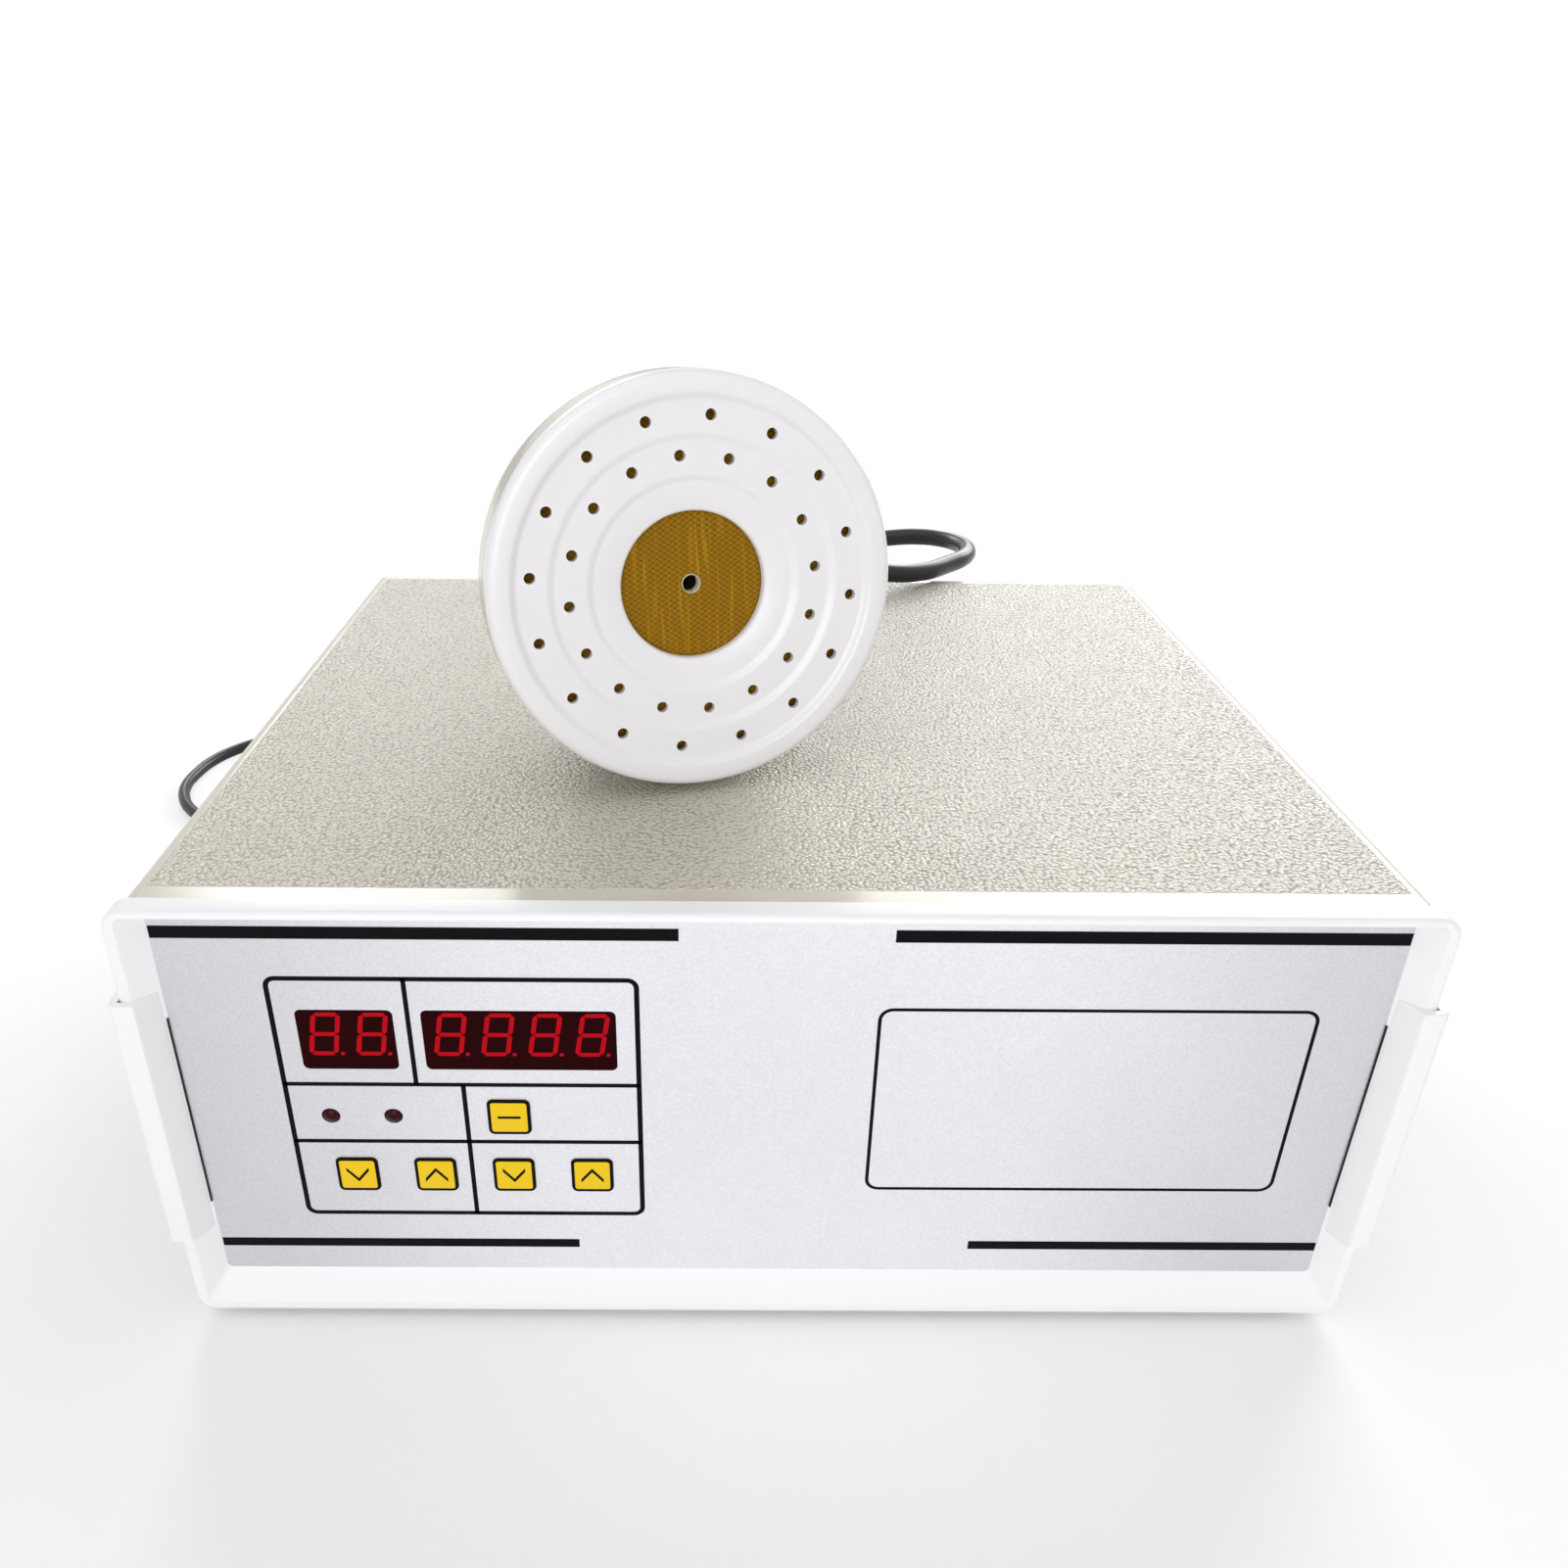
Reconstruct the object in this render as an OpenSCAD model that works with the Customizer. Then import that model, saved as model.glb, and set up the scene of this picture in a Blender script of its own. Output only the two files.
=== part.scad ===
// Hand-held induction cap sealer: a power box with a front control panel, and a round
// sealing head on a lead. The head is laid on top of the box, as it is put down in use.
// Millimetres, +Z up, the control panel faces -Y. The origin is under the middle of the
// machine at the height that the feet stand on.

/* [Case] */
// Width of the two case shells
case_w = 340; // [300:1:380]
// Depth of the two case shells, front edge to rear edge
case_d = 267; // [240:1:300]
// Height of the closed case, without the feet
case_h = 139.7; // [130:0.1:160]
// Wall of the shells
case_wall = 3; // [2.2:0.1:4]
// Radius along the long edges of the case
case_edge_r = 5; // [4:0.5:8]
// Height of the lap where the shells meet
lap_h = 3; // [2:0.5:5]
// Height of the rubber feet
foot_h = 5; // [4:0.5:9]
// Diameter of a foot
foot_d = 18; // [14:1:24]
// Distance of a foot from the side and end of the case
foot_inset = 26; // [20:1:40]
// Diameter of the stem that holds a foot
foot_stem_d = 5; // [4:0.5:7]
// Vent slots in each side wall
vent_count = 10; // [4:1:14]
// Pitch of the vent slots
vent_pitch = 9; // [7:0.5:12]
// Width of a vent slot
vent_w = 3; // [2:0.5:4]
// Height of a vent slot
vent_h = 26; // [14:1:34]

/* [Front bezel] */
// How far the bezel stands above the shells
bezel_over = 0.8; // [0.5:0.1:3]
// How far the bezel reaches below the shells
bezel_under = 2.2; // [1:0.1:4]
// How far the bezel stands out at each side of the shells
bezel_side = 2; // [1.6:0.1:5]
// Depth of the recess in front of the panel
panel_recess = 5; // [4.6:0.1:9]
// Width of the bars at the sides of the panel
bezel_side_bar = 9.5; // [8:0.1:14]
// Height of the bar under the panel
bezel_bottom_bar = 13.2; // [9:0.1:16]
// Height of the bar over the panel
bezel_top_bar = 2.9; // [2.5:0.1:8]
// Width of the rim in front of the sloped inner faces at the sides and below
bezel_rim = 3.8; // [3:0.1:6]
// Height of the rim over the panel
bezel_top_rim = 1.9; // [1.8:0.1:2.4]
// Radius of the bezel's corners
bezel_corner_r = 6; // [4:0.5:9]
// How far the front edges are rounded inwards
bezel_round = 1.5; // [1:0.1:1.7]
// Bottom of the side grips above the floor
grip_low = 34; // [28:1:45]
// Length of the side grips
grip_len = 84; // [70:1:90]
// Thickness of the side grips in front of the bezel
grip_front = 2.5; // [1.5:0.1:4]
// Thickness of the side grips beside the bezel
grip_side = 2.2; // [1.8:0.1:5]
// How far the side grips reach back along the bezel
grip_wrap = 7; // [5:0.5:7]
// Width of the flat front of a grip
grip_flat = 7.2; // [5:0.1:8]

/* [Front panel] */
// Thickness of the front panel plate
panel_t = 2; // [1.5:0.1:3]
// Overlap of the plate behind the bezel
panel_lap = 1; // [0.8:0.1:1.2]
// Width of a display digit with its share of the gap
digit_pitch = 12.7; // [10:0.1:15]
// Height of the display windows
window_h = 20; // [17:0.5:24]
// Middle of the display windows above the panel's lower edge
window_z = 86; // [84:0.5:90]
// Middle of the time window, across the panel
time_x = -115.8; // [-117:0.1:-114]
// Middle of the count window, across the panel
count_x = -69.4; // [-72:0.1:-67]
// Diameter of an indicator lamp
lamp_d = 5; // [3:0.5:6]
// Middle of the power lamp, across the panel
power_lamp_x = -123.8; // [-126:0.1:-121]
// Middle of the work lamp, across the panel
work_lamp_x = -106.4; // [-109:0.1:-103]
// Width of a key
key_w = 11.7; // [9:0.1:13]
// Height of a key
key_h = 12; // [9:0.1:14]
// Pitch of the keys in a row
key_pitch = 22.33; // [20:0.01:24]
// Middle of the first key of the lower row, across the panel
key_x = -118.8; // [-121:0.1:-116]
// Middle of the lower row of keys above the panel's lower edge
key_row_low = 37.7; // [34:0.1:40]
// Middle of the lamps and the zero key above the panel's lower edge
key_row_high = 59.3; // [57:0.1:62]
// Travel of a key
key_travel = 0.5; // [0.3:0.05:0.8]
// Height of a key above the panel
key_proud = 0.4; // [0.2:0.05:0.6]
// Length of the pillars between the panel and its board
standoff_len = 9; // [8:0.5:14]

/* [Rear panel] */
// Thickness of the rear panel
rear_t = 2.5; // [2:0.1:3]
// Depth of the rear panel inside the rear edge of the shells
rear_recess = 5; // [3:0.5:8]
// Size of the square cooling fan
fan_size = 80; // [60:1:92]
// Depth of the fan frame
fan_depth = 25; // [20:1:32]
// Middle of the fan, across the panel
fan_x = -35; // [-40:1:10]
// Distance between the fan's screws
fan_hole_pitch = 71.5; // [50:0.5:82.5]
// Diameter of the fan's shaft
fan_shaft_d = 3; // [2:0.5:5]
// Middle of the mains switch, fuse and cord, across the panel
mains_x = -125; // [-130:1:-120]
// Height of the cord outlets above the floor
outlet_z = 40; // [38:1:44]
// Height of the fuse above the floor
fuse_z = 76; // [70:1:80]
// Height of the power switch above the floor
switch_z = 110; // [104:1:114]
// Width of the switch's rocker
rocker_w = 10; // [8:0.5:12]
// Height of the switch's rocker
rocker_h = 16; // [13:0.5:18]
// Tilt of the rocker to either side
rocker_tilt = 11; // [6:1:14]
// Diameter of the fuse holder's body
fuse_d = 12.5; // [10:0.5:15]
// Diameter of the fuse cap's grip
fuse_cap_d = 14; // [12:0.5:16]
// Length of the fuse cap's grip
fuse_cap_len = 10; // [8:0.5:14]
// Middle of the head lead's outlet, across the panel
lead_outlet_x = 85; // [84:1:86]

/* [Power parts] */
// Width of the power board
power_board_w = 190; // [150:1:210]
// Depth of the power board
power_board_d = 130; // [110:1:140]
// Thickness of the circuit boards
board_t = 1.6; // [1:0.1:2.4]
// Height of the posts under the power board
post_h = 8; // [6:0.5:12]
// Length of the heat sink
sink_len = 100; // [80:1:120]
// Height of the heat sink
sink_h = 44; // [40:1:60]
// Number of fins on the heat sink
sink_fins = 8; // [4:1:10]
// Diameter of a filter capacitor
cap_d = 25; // [18:1:28]
// Height of a filter capacitor
cap_h = 40; // [30:1:50]
// Height of the supply transformer's core
core_h = 48; // [40:1:56]
// Width of the supply transformer's core
core_w = 57; // [50:1:66]
// Thickness of the core's stack of plates
core_stack = 24; // [18:1:30]

/* [Sealing head] */
// Diameter of the head at its face
head_d = 118; // [100:1:130]
// Depth of the straight band round the face
head_band = 20; // [18:1:26]
// Distance from the face to the end of the tapered body
head_body = 42; // [40:1:50]
// Taper of the body behind the band, and so its tilt when laid down
head_taper = 7.7; // [5:0.1:10]
// Turn of the laid-down head away from straight ahead
head_yaw = 16.1; // [0:0.1:30]
// Middle of the head's face, across the case
head_x = -22.8; // [-30:0.1:-10]
// Middle of the head's face behind the front panel
head_y = 70.5; // [60:0.1:80]
// Wall of the head's shells
head_wall = 2.2; // [1.8:0.1:3]
// Depth of the face plate's skirt
face_skirt = 6; // [5:0.5:8]
// Depth of each step of the dished face
face_step = 1; // [0.6:0.1:1.3]
// Radius of the outer row of holes
outer_row_r = 47.1; // [45:0.1:48]
// Radius of the inner row of holes
inner_row_r = 36.3; // [34:0.1:38]
// Holes in each row
row_holes = 16; // [8:1:20]
// Diameter of a hole in the face
hole_d = 3.2; // [2:0.1:4]
// Diameter of the opening in the middle of the face
face_open_d = 42; // [36:0.5:46]
// Turns of the work coil
coil_turns = 9; // [5:1:10]
// Pitch of the work coil's turns
coil_pitch = 3.4; // [3.2:0.1:3.6]
// Diameter of the work coil's wire
coil_wire_d = 3; // [2:0.1:3.2]
// Inner radius of the work coil
coil_inner_r = 12; // [10:0.5:14]
// Number of ferrite bars behind the coil
ferrite_count = 6; // [4:1:8]
// Distance from the face to the end of the handle
handle_end = 116; // [112:1:122]
// Diameter of the handle at its middle
handle_d = 35; // [32:0.5:40]
// Diameter of the start button
button_d = 12; // [9:0.5:14]
// Travel of the start button
button_travel = 2; // [1:0.1:2.5]
// Height of the start button above the handle
button_proud = 3; // [2.8:0.1:5]
// Distance from the face to the start button
button_at = 70; // [66:1:76]
// Length of the sleeve on the lead
sleeve_len = 22; // [20:1:30]
// Gap under the laid-down head
rest_gap = 0.2; // [0.1:0.05:0.5]

/* [Cords] */
// Diameter of the head lead
lead_d = 8; // [8:0.1:8.4]
// Diameter of the power cord
cord_d = 6; // [6:0.1:6.4]
// Length of the strain relief on the power cord
relief_len = 30; // [29:1:31]
// Length of the head lead's outlet
lead_gland_len = 26; // [25:1:27]

/* [Fits] */
// Gap round pieces that are pushed into place
seat_gap = 0.1; // [0.05:0.05:0.3]
// Gap round keys and buttons
slide_gap = 0.2; // [0.1:0.05:0.4]
// Radial gap of a turning pin in its bore
pin_gap = 0.05; // [0.02:0.01:0.09]
// Diameter of the machine screws
screw_d = 3; // [2.5:0.1:3.5]

/* [Hidden] */
$fn = 48;

// Case and bezel
shell_front = panel_t;
shell_rear = shell_front + case_d;
case_low = foot_h;
case_top = case_low + case_h;
case_mid = case_low + case_h / 2;
floor_z = case_low + case_wall;
bezel_w = case_w + 2 * bezel_side;
bezel_h = case_h + bezel_over + bezel_under;
bezel_low = case_low - bezel_under;
opening_low = bezel_low + bezel_bottom_bar;
opening_w = bezel_w - 2 * bezel_side_bar;
opening_h = bezel_h - bezel_bottom_bar - bezel_top_bar;
opening_mid = opening_low + opening_h / 2;
flare_w = bezel_w - 2 * bezel_rim;
flare_low = bezel_low + bezel_rim;
flare_h = bezel_h - bezel_rim - bezel_top_rim;
bar_x = case_w / 2 - case_wall;
front_reach = panel_recess + grip_front;

// Rear panel and the middle of the machine
rear_face = shell_rear - rear_recess;
rear_inner = rear_face - rear_t;
fuse_flange_t = 2;
rear_reach = rear_face + fuse_flange_t + fuse_cap_len;
panel_y = (front_reach - rear_reach) / 2;
groove_rib_t = 2;
groove_rib_h = 3;

// Screws and posts
screw_head_d = 2 * screw_d;
screw_head_h = 0.7 * screw_d;
boss_d = 3 * screw_d;
bezel_boss = 10;
bezel_boss_len = 14;
boss_x = case_w / 2 - 18;
boss_front = shell_front + 62;
boss_rear = shell_rear - 52;
boss_seat = case_mid - 8;
bezel_screw_len = 12;
bezel_screw_seat = 0.6;
bezel_screw_zs = [grip_low + 14, grip_low + grip_len - 14];

// Board behind the panel
board_face = panel_t + standoff_len;
board_x = (time_x + count_x) / 2 + 6;
board_z = opening_low + 64;
board_w = 112;
board_h = 92;
standoff_d = 6;
flange_t = 0.8;
flange_lip = 1.4;
time_w = 2 * digit_pitch + 0.6;
count_w = 4 * digit_pitch + 1.2;
key_stem = panel_t + flange_t + 1.7;
plunger_top = key_stem + key_travel + 0.05;

// Places of the keys across and up the panel
key_row = [for (i = [0:3]) [key_x + i * key_pitch, key_row_low]];
zero_place = [key_x + 2 * key_pitch, key_row_high];

// Fan, switch and fuse
fan_z = case_mid + 3;
fan_bore_d = fan_size - 4;
fan_hub_d = 0.42 * fan_size;
fan_front = rear_inner - fan_depth;
fan_blades = 7;
switch_w = rocker_w + 2.8;
switch_h = rocker_h + 4;
switch_lip = 1.6;
switch_pivot = rear_face - 1;
switch_deep = rear_face - 15;
rocker_pin_d = 2.4;
fuse_bore_d = 8;
fuse_deep = rear_face - 32;

// Power parts
power_board_y = 150;
power_board_z = floor_z + post_h;
sink_base_t = 5;
sink_w = 52;
sink_x = 62;
cap_y = power_board_y - power_board_d / 2 + cap_d / 2 + 14.5;
core_x = -58;
core_y = power_board_y + 15;
film_cap = [42, 22, 34];
film_cap_x = core_x + 56;
transistor_pitch = 30;
core_leg = core_w / 6;

// Sealing head, measured back from its face along its axis
head_r = head_d / 2;
taper_end_r = head_r - (head_body - head_band) * tan(head_taper);
shoulder_r = 9;
neck_r = handle_d / 2 - 3.4;
neck_end = head_body + shoulder_r + 9;
face_t = 2;
lip_r = 2.5;
outer_row_turn = -15.2;
inner_row_turn = -4.7;
step_radii = [0.88 * head_r, 0.7 * head_r, 0.51 * head_r];
face_mid = lip_r * 0.6 + len(step_radii) * face_step;
board_at = face_mid + face_t + 0.4;
coil_board_t = 2;
coil_board_r = 0.86 * head_r;
coil_at = board_at + coil_board_t + coil_wire_d / 2;
ferrite_at = coil_at + coil_wire_d / 2;
ferrite_t = 5;
ferrite_w = 12;
handle_r = handle_d / 2;
handle_wall = 2.4;
handle_start = head_body + shoulder_r + seat_gap;
sleeve_r = lead_d / 2 + 3.5;
head_z = case_top + rest_gap + head_r * cos(head_taper) + head_band * sin(head_taper);
handle_screw_ats = [button_at + 14, handle_end - 12];
button_top = handle_r + button_proud;
button_flange = handle_r - handle_wall - 3.6;
button_lip = 1.2;
switch_body = [6.4, 12, 19.8];
switch_top = button_flange - button_travel - 0.1;
switch_rib = 2 * handle_r - 5;

// Cords: points along the middle of each stretch, behind the panel, across it and up
lead_start = sleeve_end_point();
lead_route = [
    [-63.9, 224.2, 184.3], [-60, 237.4, 181.9], [-51.7, 248.3, 179.1], [-40, 255.3, 176],
    [-25.9, 258, 172.5], [-10, 257.5, 168.5], [8, 255.5, 164], [26, 253.5, 159.5],
    [44, 253.2, 155], [60.7, 257.2, 151.8], [75.5, 266.5, 150], [87.2, 278.8, 149.3],
    [96.5, 290.4, 149], [101.2, 303.7, 148.5], [100.3, 317.8, 147.5], [94, 330.2, 146.5],
    [83.6, 339, 145.2], [70, 344.1, 143], [54, 348.5, 139], [37.5, 354, 132.5],
    [21, 361, 123.5], [6, 371, 112], [-6, 384.5, 97.5], [-12.6, 401, 81],
    [-11.5, 418.5, 63.5], [-2.5, 433.5, 45.5], [13, 442, 29], [31, 443, 15.5],
    [47, 438, 8], [59, 428, 4.6], [66.5, 414, 4]
];
lead_return = [
    [84, 404, 4], [84, 388, 4], [84, 372, 5.5], [84, 356, 10], [84, 340, 17.5],
    [84.5, 325, 26.5], [85, 310, 35]
];
cord_route = [
    [-125, 306, 38.5], [-128, 318, 33.5], [-136, 329, 25], [-148, 334, 16], [-162, 334, 9],
    [-177, 328, 4.5], [-192, 319, 3], [-206, 309, 3], [-220, 299, 3], [-235, 291, 3],
    [-250, 288, 3], [-266, 290, 3], [-281, 297, 3], [-294, 308, 3], [-303, 321, 3],
    [-308, 336, 3], [-308, 352, 3], [-305, 367, 3], [-297, 382, 3], [-285, 394, 3],
    [-271, 402, 3], [-255, 407, 3], [-238, 411, 3], [-221, 416, 3], [-205, 422, 3],
    [-190, 426, 3]
];
cord_tail = [[-175, 421, 9], [-166, 421, 9.2], [-157, 421, 9.6], [-148, 421, 9.9]];
lead_coil_place = [30, 404];
lead_coil_r = 46;
lead_coil_across = 3;
cord_coil_place = [-175, 385];
cord_coil_r = 33;
cord_coil_across = 4;
cord_coil_layers = 2;
plug_place = [-139, 421];
plug_mid = 10;
plug_body = 45;
plug_pin_d = 4.8;
plug_pin_len = 19;
plug_pin_pitch = 19;

// Shape helpers
module rounded_rect(w, h, r) {
    square([w - 2 * r, h], center = true);
    square([w, h - 2 * r], center = true);
    for (x = [-1, 1], y = [-1, 1])
        translate([x * (w / 2 - r), y * (h / 2 - r)]) circle(r);
}

// A flat outline in X and Z, drawn out between two depths behind the panel's face
module slab(from, to) {
    translate([0, panel_y + to, 0]) rotate([90, 0, 0]) linear_extrude(to - from) children();
}

// A round bar along Y between two depths behind the panel's face
module rod(x, z, d, from, to) {
    translate([x, panel_y + from, z]) rotate([-90, 0, 0]) cylinder(d = d, h = to - from);
}

// Puts a shape drawn along +Z, with the face of the head at zero, where the head lies
module laid_down() {
    translate([head_x, panel_y + head_y, head_z])
        rotate([-90 - head_taper, 0, head_yaw]) children();
}

// Case shells
module case_outline(inset) {
    translate([0, case_mid])
        rounded_rect(case_w - 2 * inset, case_h - 2 * inset, max(case_edge_r - inset, 1));
}

module case_ring(outer, inner) {
    difference() {
        case_outline(outer);
        case_outline(inner);
    }
}

module below(z) {
    translate([-case_w, z - 2 * case_h]) square([2 * case_w, 2 * case_h]);
}

module rear_groove_ribs() {
    for (y = [rear_inner - seat_gap - groove_rib_t, rear_face + seat_gap])
        slab(y, y + groove_rib_t) case_ring(case_wall - 0.01, case_wall + groove_rib_h);
}

module side_vents(z) {
    vent_run = (vent_count - 1) * vent_pitch;
    for (side = [-1, 1], i = [0:vent_count - 1])
        translate([side * (case_w - case_wall) / 2, panel_y + (case_d - vent_run) / 2 + i * vent_pitch, z])
            rotate([0, 90, 0]) linear_extrude(2 * case_wall, center = true)
                rounded_rect(vent_h, vent_w, vent_w / 2 - 0.01);
}

module boss_places() {
    for (x = [-boss_x, boss_x], y = [boss_front, boss_rear])
        translate([x, panel_y + y, 0]) children();
}

module foot_places() {
    for (x = [-1, 1], y = [shell_front + foot_inset, shell_rear - foot_inset])
        translate([x * (case_w / 2 - foot_inset), panel_y + y, 0]) children();
}

module bezel_bosses() {
    for (side = [-1, 1], z = bezel_screw_zs)
        translate([side * (case_w / 2 - case_wall - bezel_boss / 2 + 0.5), panel_y + shell_front, z])
            translate([-bezel_boss / 2, 0, -bezel_boss / 2])
                cube([bezel_boss, bezel_boss_len, bezel_boss]);
}

module bezel_screw_bores(d, from, to) {
    for (side = [-1, 1], z = bezel_screw_zs)
        rod(side * bar_x, z, d, from, to);
}

module lower_shell() {
    color("ivory") difference() {
        union() {
            slab(shell_front, shell_rear) {
                intersection() {
                    case_ring(0, case_wall);
                    below(case_mid);
                }
                intersection() {
                    case_ring(case_wall / 2 + seat_gap / 2, case_wall);
                    below(case_mid + lap_h - seat_gap);
                }
            }
            intersection() {
                rear_groove_ribs();
                slab(shell_front, shell_rear) below(case_mid);
            }
            boss_places() translate([0, 0, floor_z - 0.5])
                cylinder(d = boss_d, h = case_mid - floor_z + 0.5);
            power_posts() translate([0, 0, floor_z - 0.5])
                cylinder(d = 2.4 * screw_d, h = post_h + 0.5);
            intersection() {
                bezel_bosses();
                slab(shell_front, shell_rear) below(case_mid);
            }
        }
        boss_places() {
            translate([0, 0, case_low - 1])
                cylinder(d = screw_head_d + 2 * seat_gap, h = boss_seat - case_low + 1);
            cylinder(d = screw_d + 2 * seat_gap, h = case_top);
        }
        power_posts() translate([0, 0, floor_z]) cylinder(d = screw_d - 0.4, h = post_h + 1);
        foot_places() translate([0, 0, case_low - 1])
            cylinder(d = foot_stem_d + 2 * seat_gap, h = case_wall + 2);
        bezel_screw_bores(screw_d + 2 * seat_gap, 0, shell_front + bezel_screw_len + 0.5);
        side_vents(case_mid - 12 - vent_h / 2);
    }
}

module upper_shell() {
    color("ivory") difference() {
        union() {
            slab(shell_front, shell_rear) difference() {
                case_ring(0, case_wall);
                below(case_mid);
                intersection() {
                    case_ring(case_wall / 2 - seat_gap / 2, case_wall + 1);
                    below(case_mid + lap_h);
                }
            }
            difference() {
                rear_groove_ribs();
                slab(shell_front, shell_rear) below(case_mid + lap_h);
            }
            boss_places() translate([0, 0, case_mid])
                cylinder(d = boss_d, h = case_top - case_mid - case_wall + 0.5);
            difference() {
                bezel_bosses();
                slab(shell_front, shell_rear) below(case_mid + lap_h);
            }
        }
        boss_places() cylinder(d = screw_d + 2 * seat_gap, h = case_mid + 16);
        bezel_screw_bores(screw_d + 2 * seat_gap, 0, shell_front + bezel_screw_len + 0.5);
    }
}

// Front bezel: rounded in front, sloped down to the panel, with a rabbet for the panel
module bezel_outline(inset) {
    translate([0, bezel_low + bezel_h / 2])
        rounded_rect(bezel_w - 2 * inset, bezel_h - 2 * inset, bezel_corner_r - inset / 2);
}

module front_bezel() {
    round_steps = 4;
    round_depth = panel_recess - 1.2;
    notch_h = grip_len - 18;
    past = 0.1;
    color("white") difference() {
        hull() {
            for (i = [0:round_steps])
                let (a = 90 * i / round_steps)
                    slab(-panel_recess + round_depth * (1 - sin(a)), shell_front)
                        bezel_outline(bezel_round * (1 - cos(a)));
        }
        hull() {
            slab(past * panel_recess, past * panel_recess + 0.01)
                translate([0, opening_mid + past * (opening_mid - flare_low - flare_h / 2)])
                    rounded_rect((1 + past) * opening_w - past * flare_w, (1 + past) * opening_h - past * flare_h, 1);
            slab(-panel_recess - 1, -panel_recess) translate([0, flare_low + flare_h / 2])
                rounded_rect(flare_w, flare_h, 2.5);
        }
        slab(0, shell_front + 1) translate([0, opening_mid])
            rounded_rect(opening_w + 2 * panel_lap, opening_h + 2 * panel_lap, 1.5);
        for (side = [-1, 1])
            translate([side * opening_w / 2, panel_y - 0.6, grip_low + grip_len / 2])
                cube([1.8, 1.2, notch_h], center = true);
        bezel_screw_bores(screw_d + 2 * seat_gap, -panel_recess - 1, shell_front + 1);
        bezel_screw_bores(screw_head_d + 2 * seat_gap, -panel_recess - 1, bezel_screw_seat);
    }
}

// Side grips: strips over the bezel's side bars, hooked behind the bezel's edge
module grip(side) {
    outer_x = bezel_w / 2 + grip_side;
    front = -front_reach;
    back = grip_wrap - grip_front;
    corner_r = 2.5;
    gap = seat_gap / 2;
    foot_depth = 0.9;
    foot_x = opening_w / 2 + 0.8;
    hook_x = case_w / 2 + 0.2;
    color("white") mirror([side < 0 ? 1 : 0, 0, 0]) translate([0, panel_y, grip_low]) linear_extrude(grip_len)
        difference() {
            union() {
                polygon([
                    [foot_x, -foot_depth], [outer_x - grip_flat, front], [outer_x - corner_r, front],
                    [outer_x - corner_r, back], [hook_x, back], [hook_x, shell_front]
                ]);
                translate([outer_x - corner_r, front + corner_r]) circle(corner_r);
                translate([outer_x - corner_r, front + corner_r]) square([corner_r, back - front - corner_r]);
            }
            polygon([
                [opening_w / 2 - 2 * gap, 0], [flare_w / 2 - gap, -panel_recess - gap],
                [bezel_w / 2 + gap, -panel_recess - gap], [bezel_w / 2 + gap, shell_front + gap],
                [opening_w / 2 - 2 * gap, shell_front + gap]
            ]);
        }
}

module left_grip() { grip(-1); }

module right_grip() { grip(1); }

// Front panel, windows, displays, lamps and keys
module panel_place(place) {
    translate([place[0], opening_low + place[1]]) children();
}

module key_outline(gap) {
    rounded_rect(key_w + 2 * gap, key_h + 2 * gap, 1.6 + gap);
}

module front_panel() {
    lap = panel_lap - seat_gap;
    color("silver") difference() {
        slab(0, panel_t) translate([0, opening_mid])
            rounded_rect(opening_w + 2 * lap, opening_h + 2 * lap, 1.4);
        slab(-1, panel_t + 1) {
            for (place = [[time_x, time_w], [count_x, count_w]])
                panel_place([place[0], window_z])
                    rounded_rect(place[1] + 2 * seat_gap, window_h + 2 * seat_gap, 1);
            for (x = [power_lamp_x, work_lamp_x])
                panel_place([x, key_row_high]) circle(d = lamp_d + 2 * seat_gap);
            panel_place(zero_place) key_outline(slide_gap);
            for (place = key_row)
                panel_place(place) key_outline(slide_gap);
        }
    }
}

module window(x, w) {
    color("darkred") {
        slab(0, panel_t) panel_place([x, window_z]) rounded_rect(w, window_h, 1);
        slab(panel_t, panel_t + flange_t) panel_place([x, window_z])
            rounded_rect(w + 2, window_h + 2, 1.5);
    }
}

module time_window() { window(time_x, time_w); }

module count_window() { window(count_x, count_w); }

module display(x, w) {
    color("dimgray") difference() {
        slab(panel_t + flange_t, board_face) panel_place([x, window_z])
            square([w - 0.4, window_h - 1], center = true);
        slab(board_face - 1.5, board_face + 1) panel_place([x, window_z])
            square([w - 6, window_h - 6], center = true);
    }
}

module time_display() { display(time_x, time_w); }

module count_display() { display(count_x, count_w); }

module lamp(x) {
    lamp_back = board_face - 3;
    dome = 0.7;
    color("firebrick") translate([x, 0, opening_low + key_row_high]) {
        rod(0, 0, lamp_d, 0, lamp_back);
        rod(0, 0, lamp_d + 1, lamp_back - 1, lamp_back);
        for (leg = [-1.27, 1.27])
            rod(leg, 0, 0.7, lamp_back - 0.5, board_face);
        translate([0, panel_y - dome, 0]) rotate([-90, 0, 0])
            cylinder(d1 = lamp_d - 1.6, d2 = lamp_d, h = dome);
    }
}

module power_lamp() { lamp(power_lamp_x); }

module work_lamp() { lamp(work_lamp_x); }

module key(place) {
    color("gold") {
        slab(-key_proud, panel_t) panel_place(place) key_outline(0);
        slab(panel_t, panel_t + flange_t) panel_place(place) key_outline(flange_lip);
        translate([place[0], 0, opening_low + place[1]]) rod(0, 0, 4, panel_t, key_stem);
    }
}

module zero_key() { key(zero_place); }

module time_down_key() { key(key_row[0]); }

module time_up_key() { key(key_row[1]); }

module power_down_key() { key(key_row[2]); }

module power_up_key() { key(key_row[3]); }

module standoff_places() {
    for (x = [-1, 1], z = [-1, 1])
        translate([board_x + x * (board_w / 2 - 5), 0, board_z + z * (board_h / 2 - 5)]) children();
}

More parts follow.
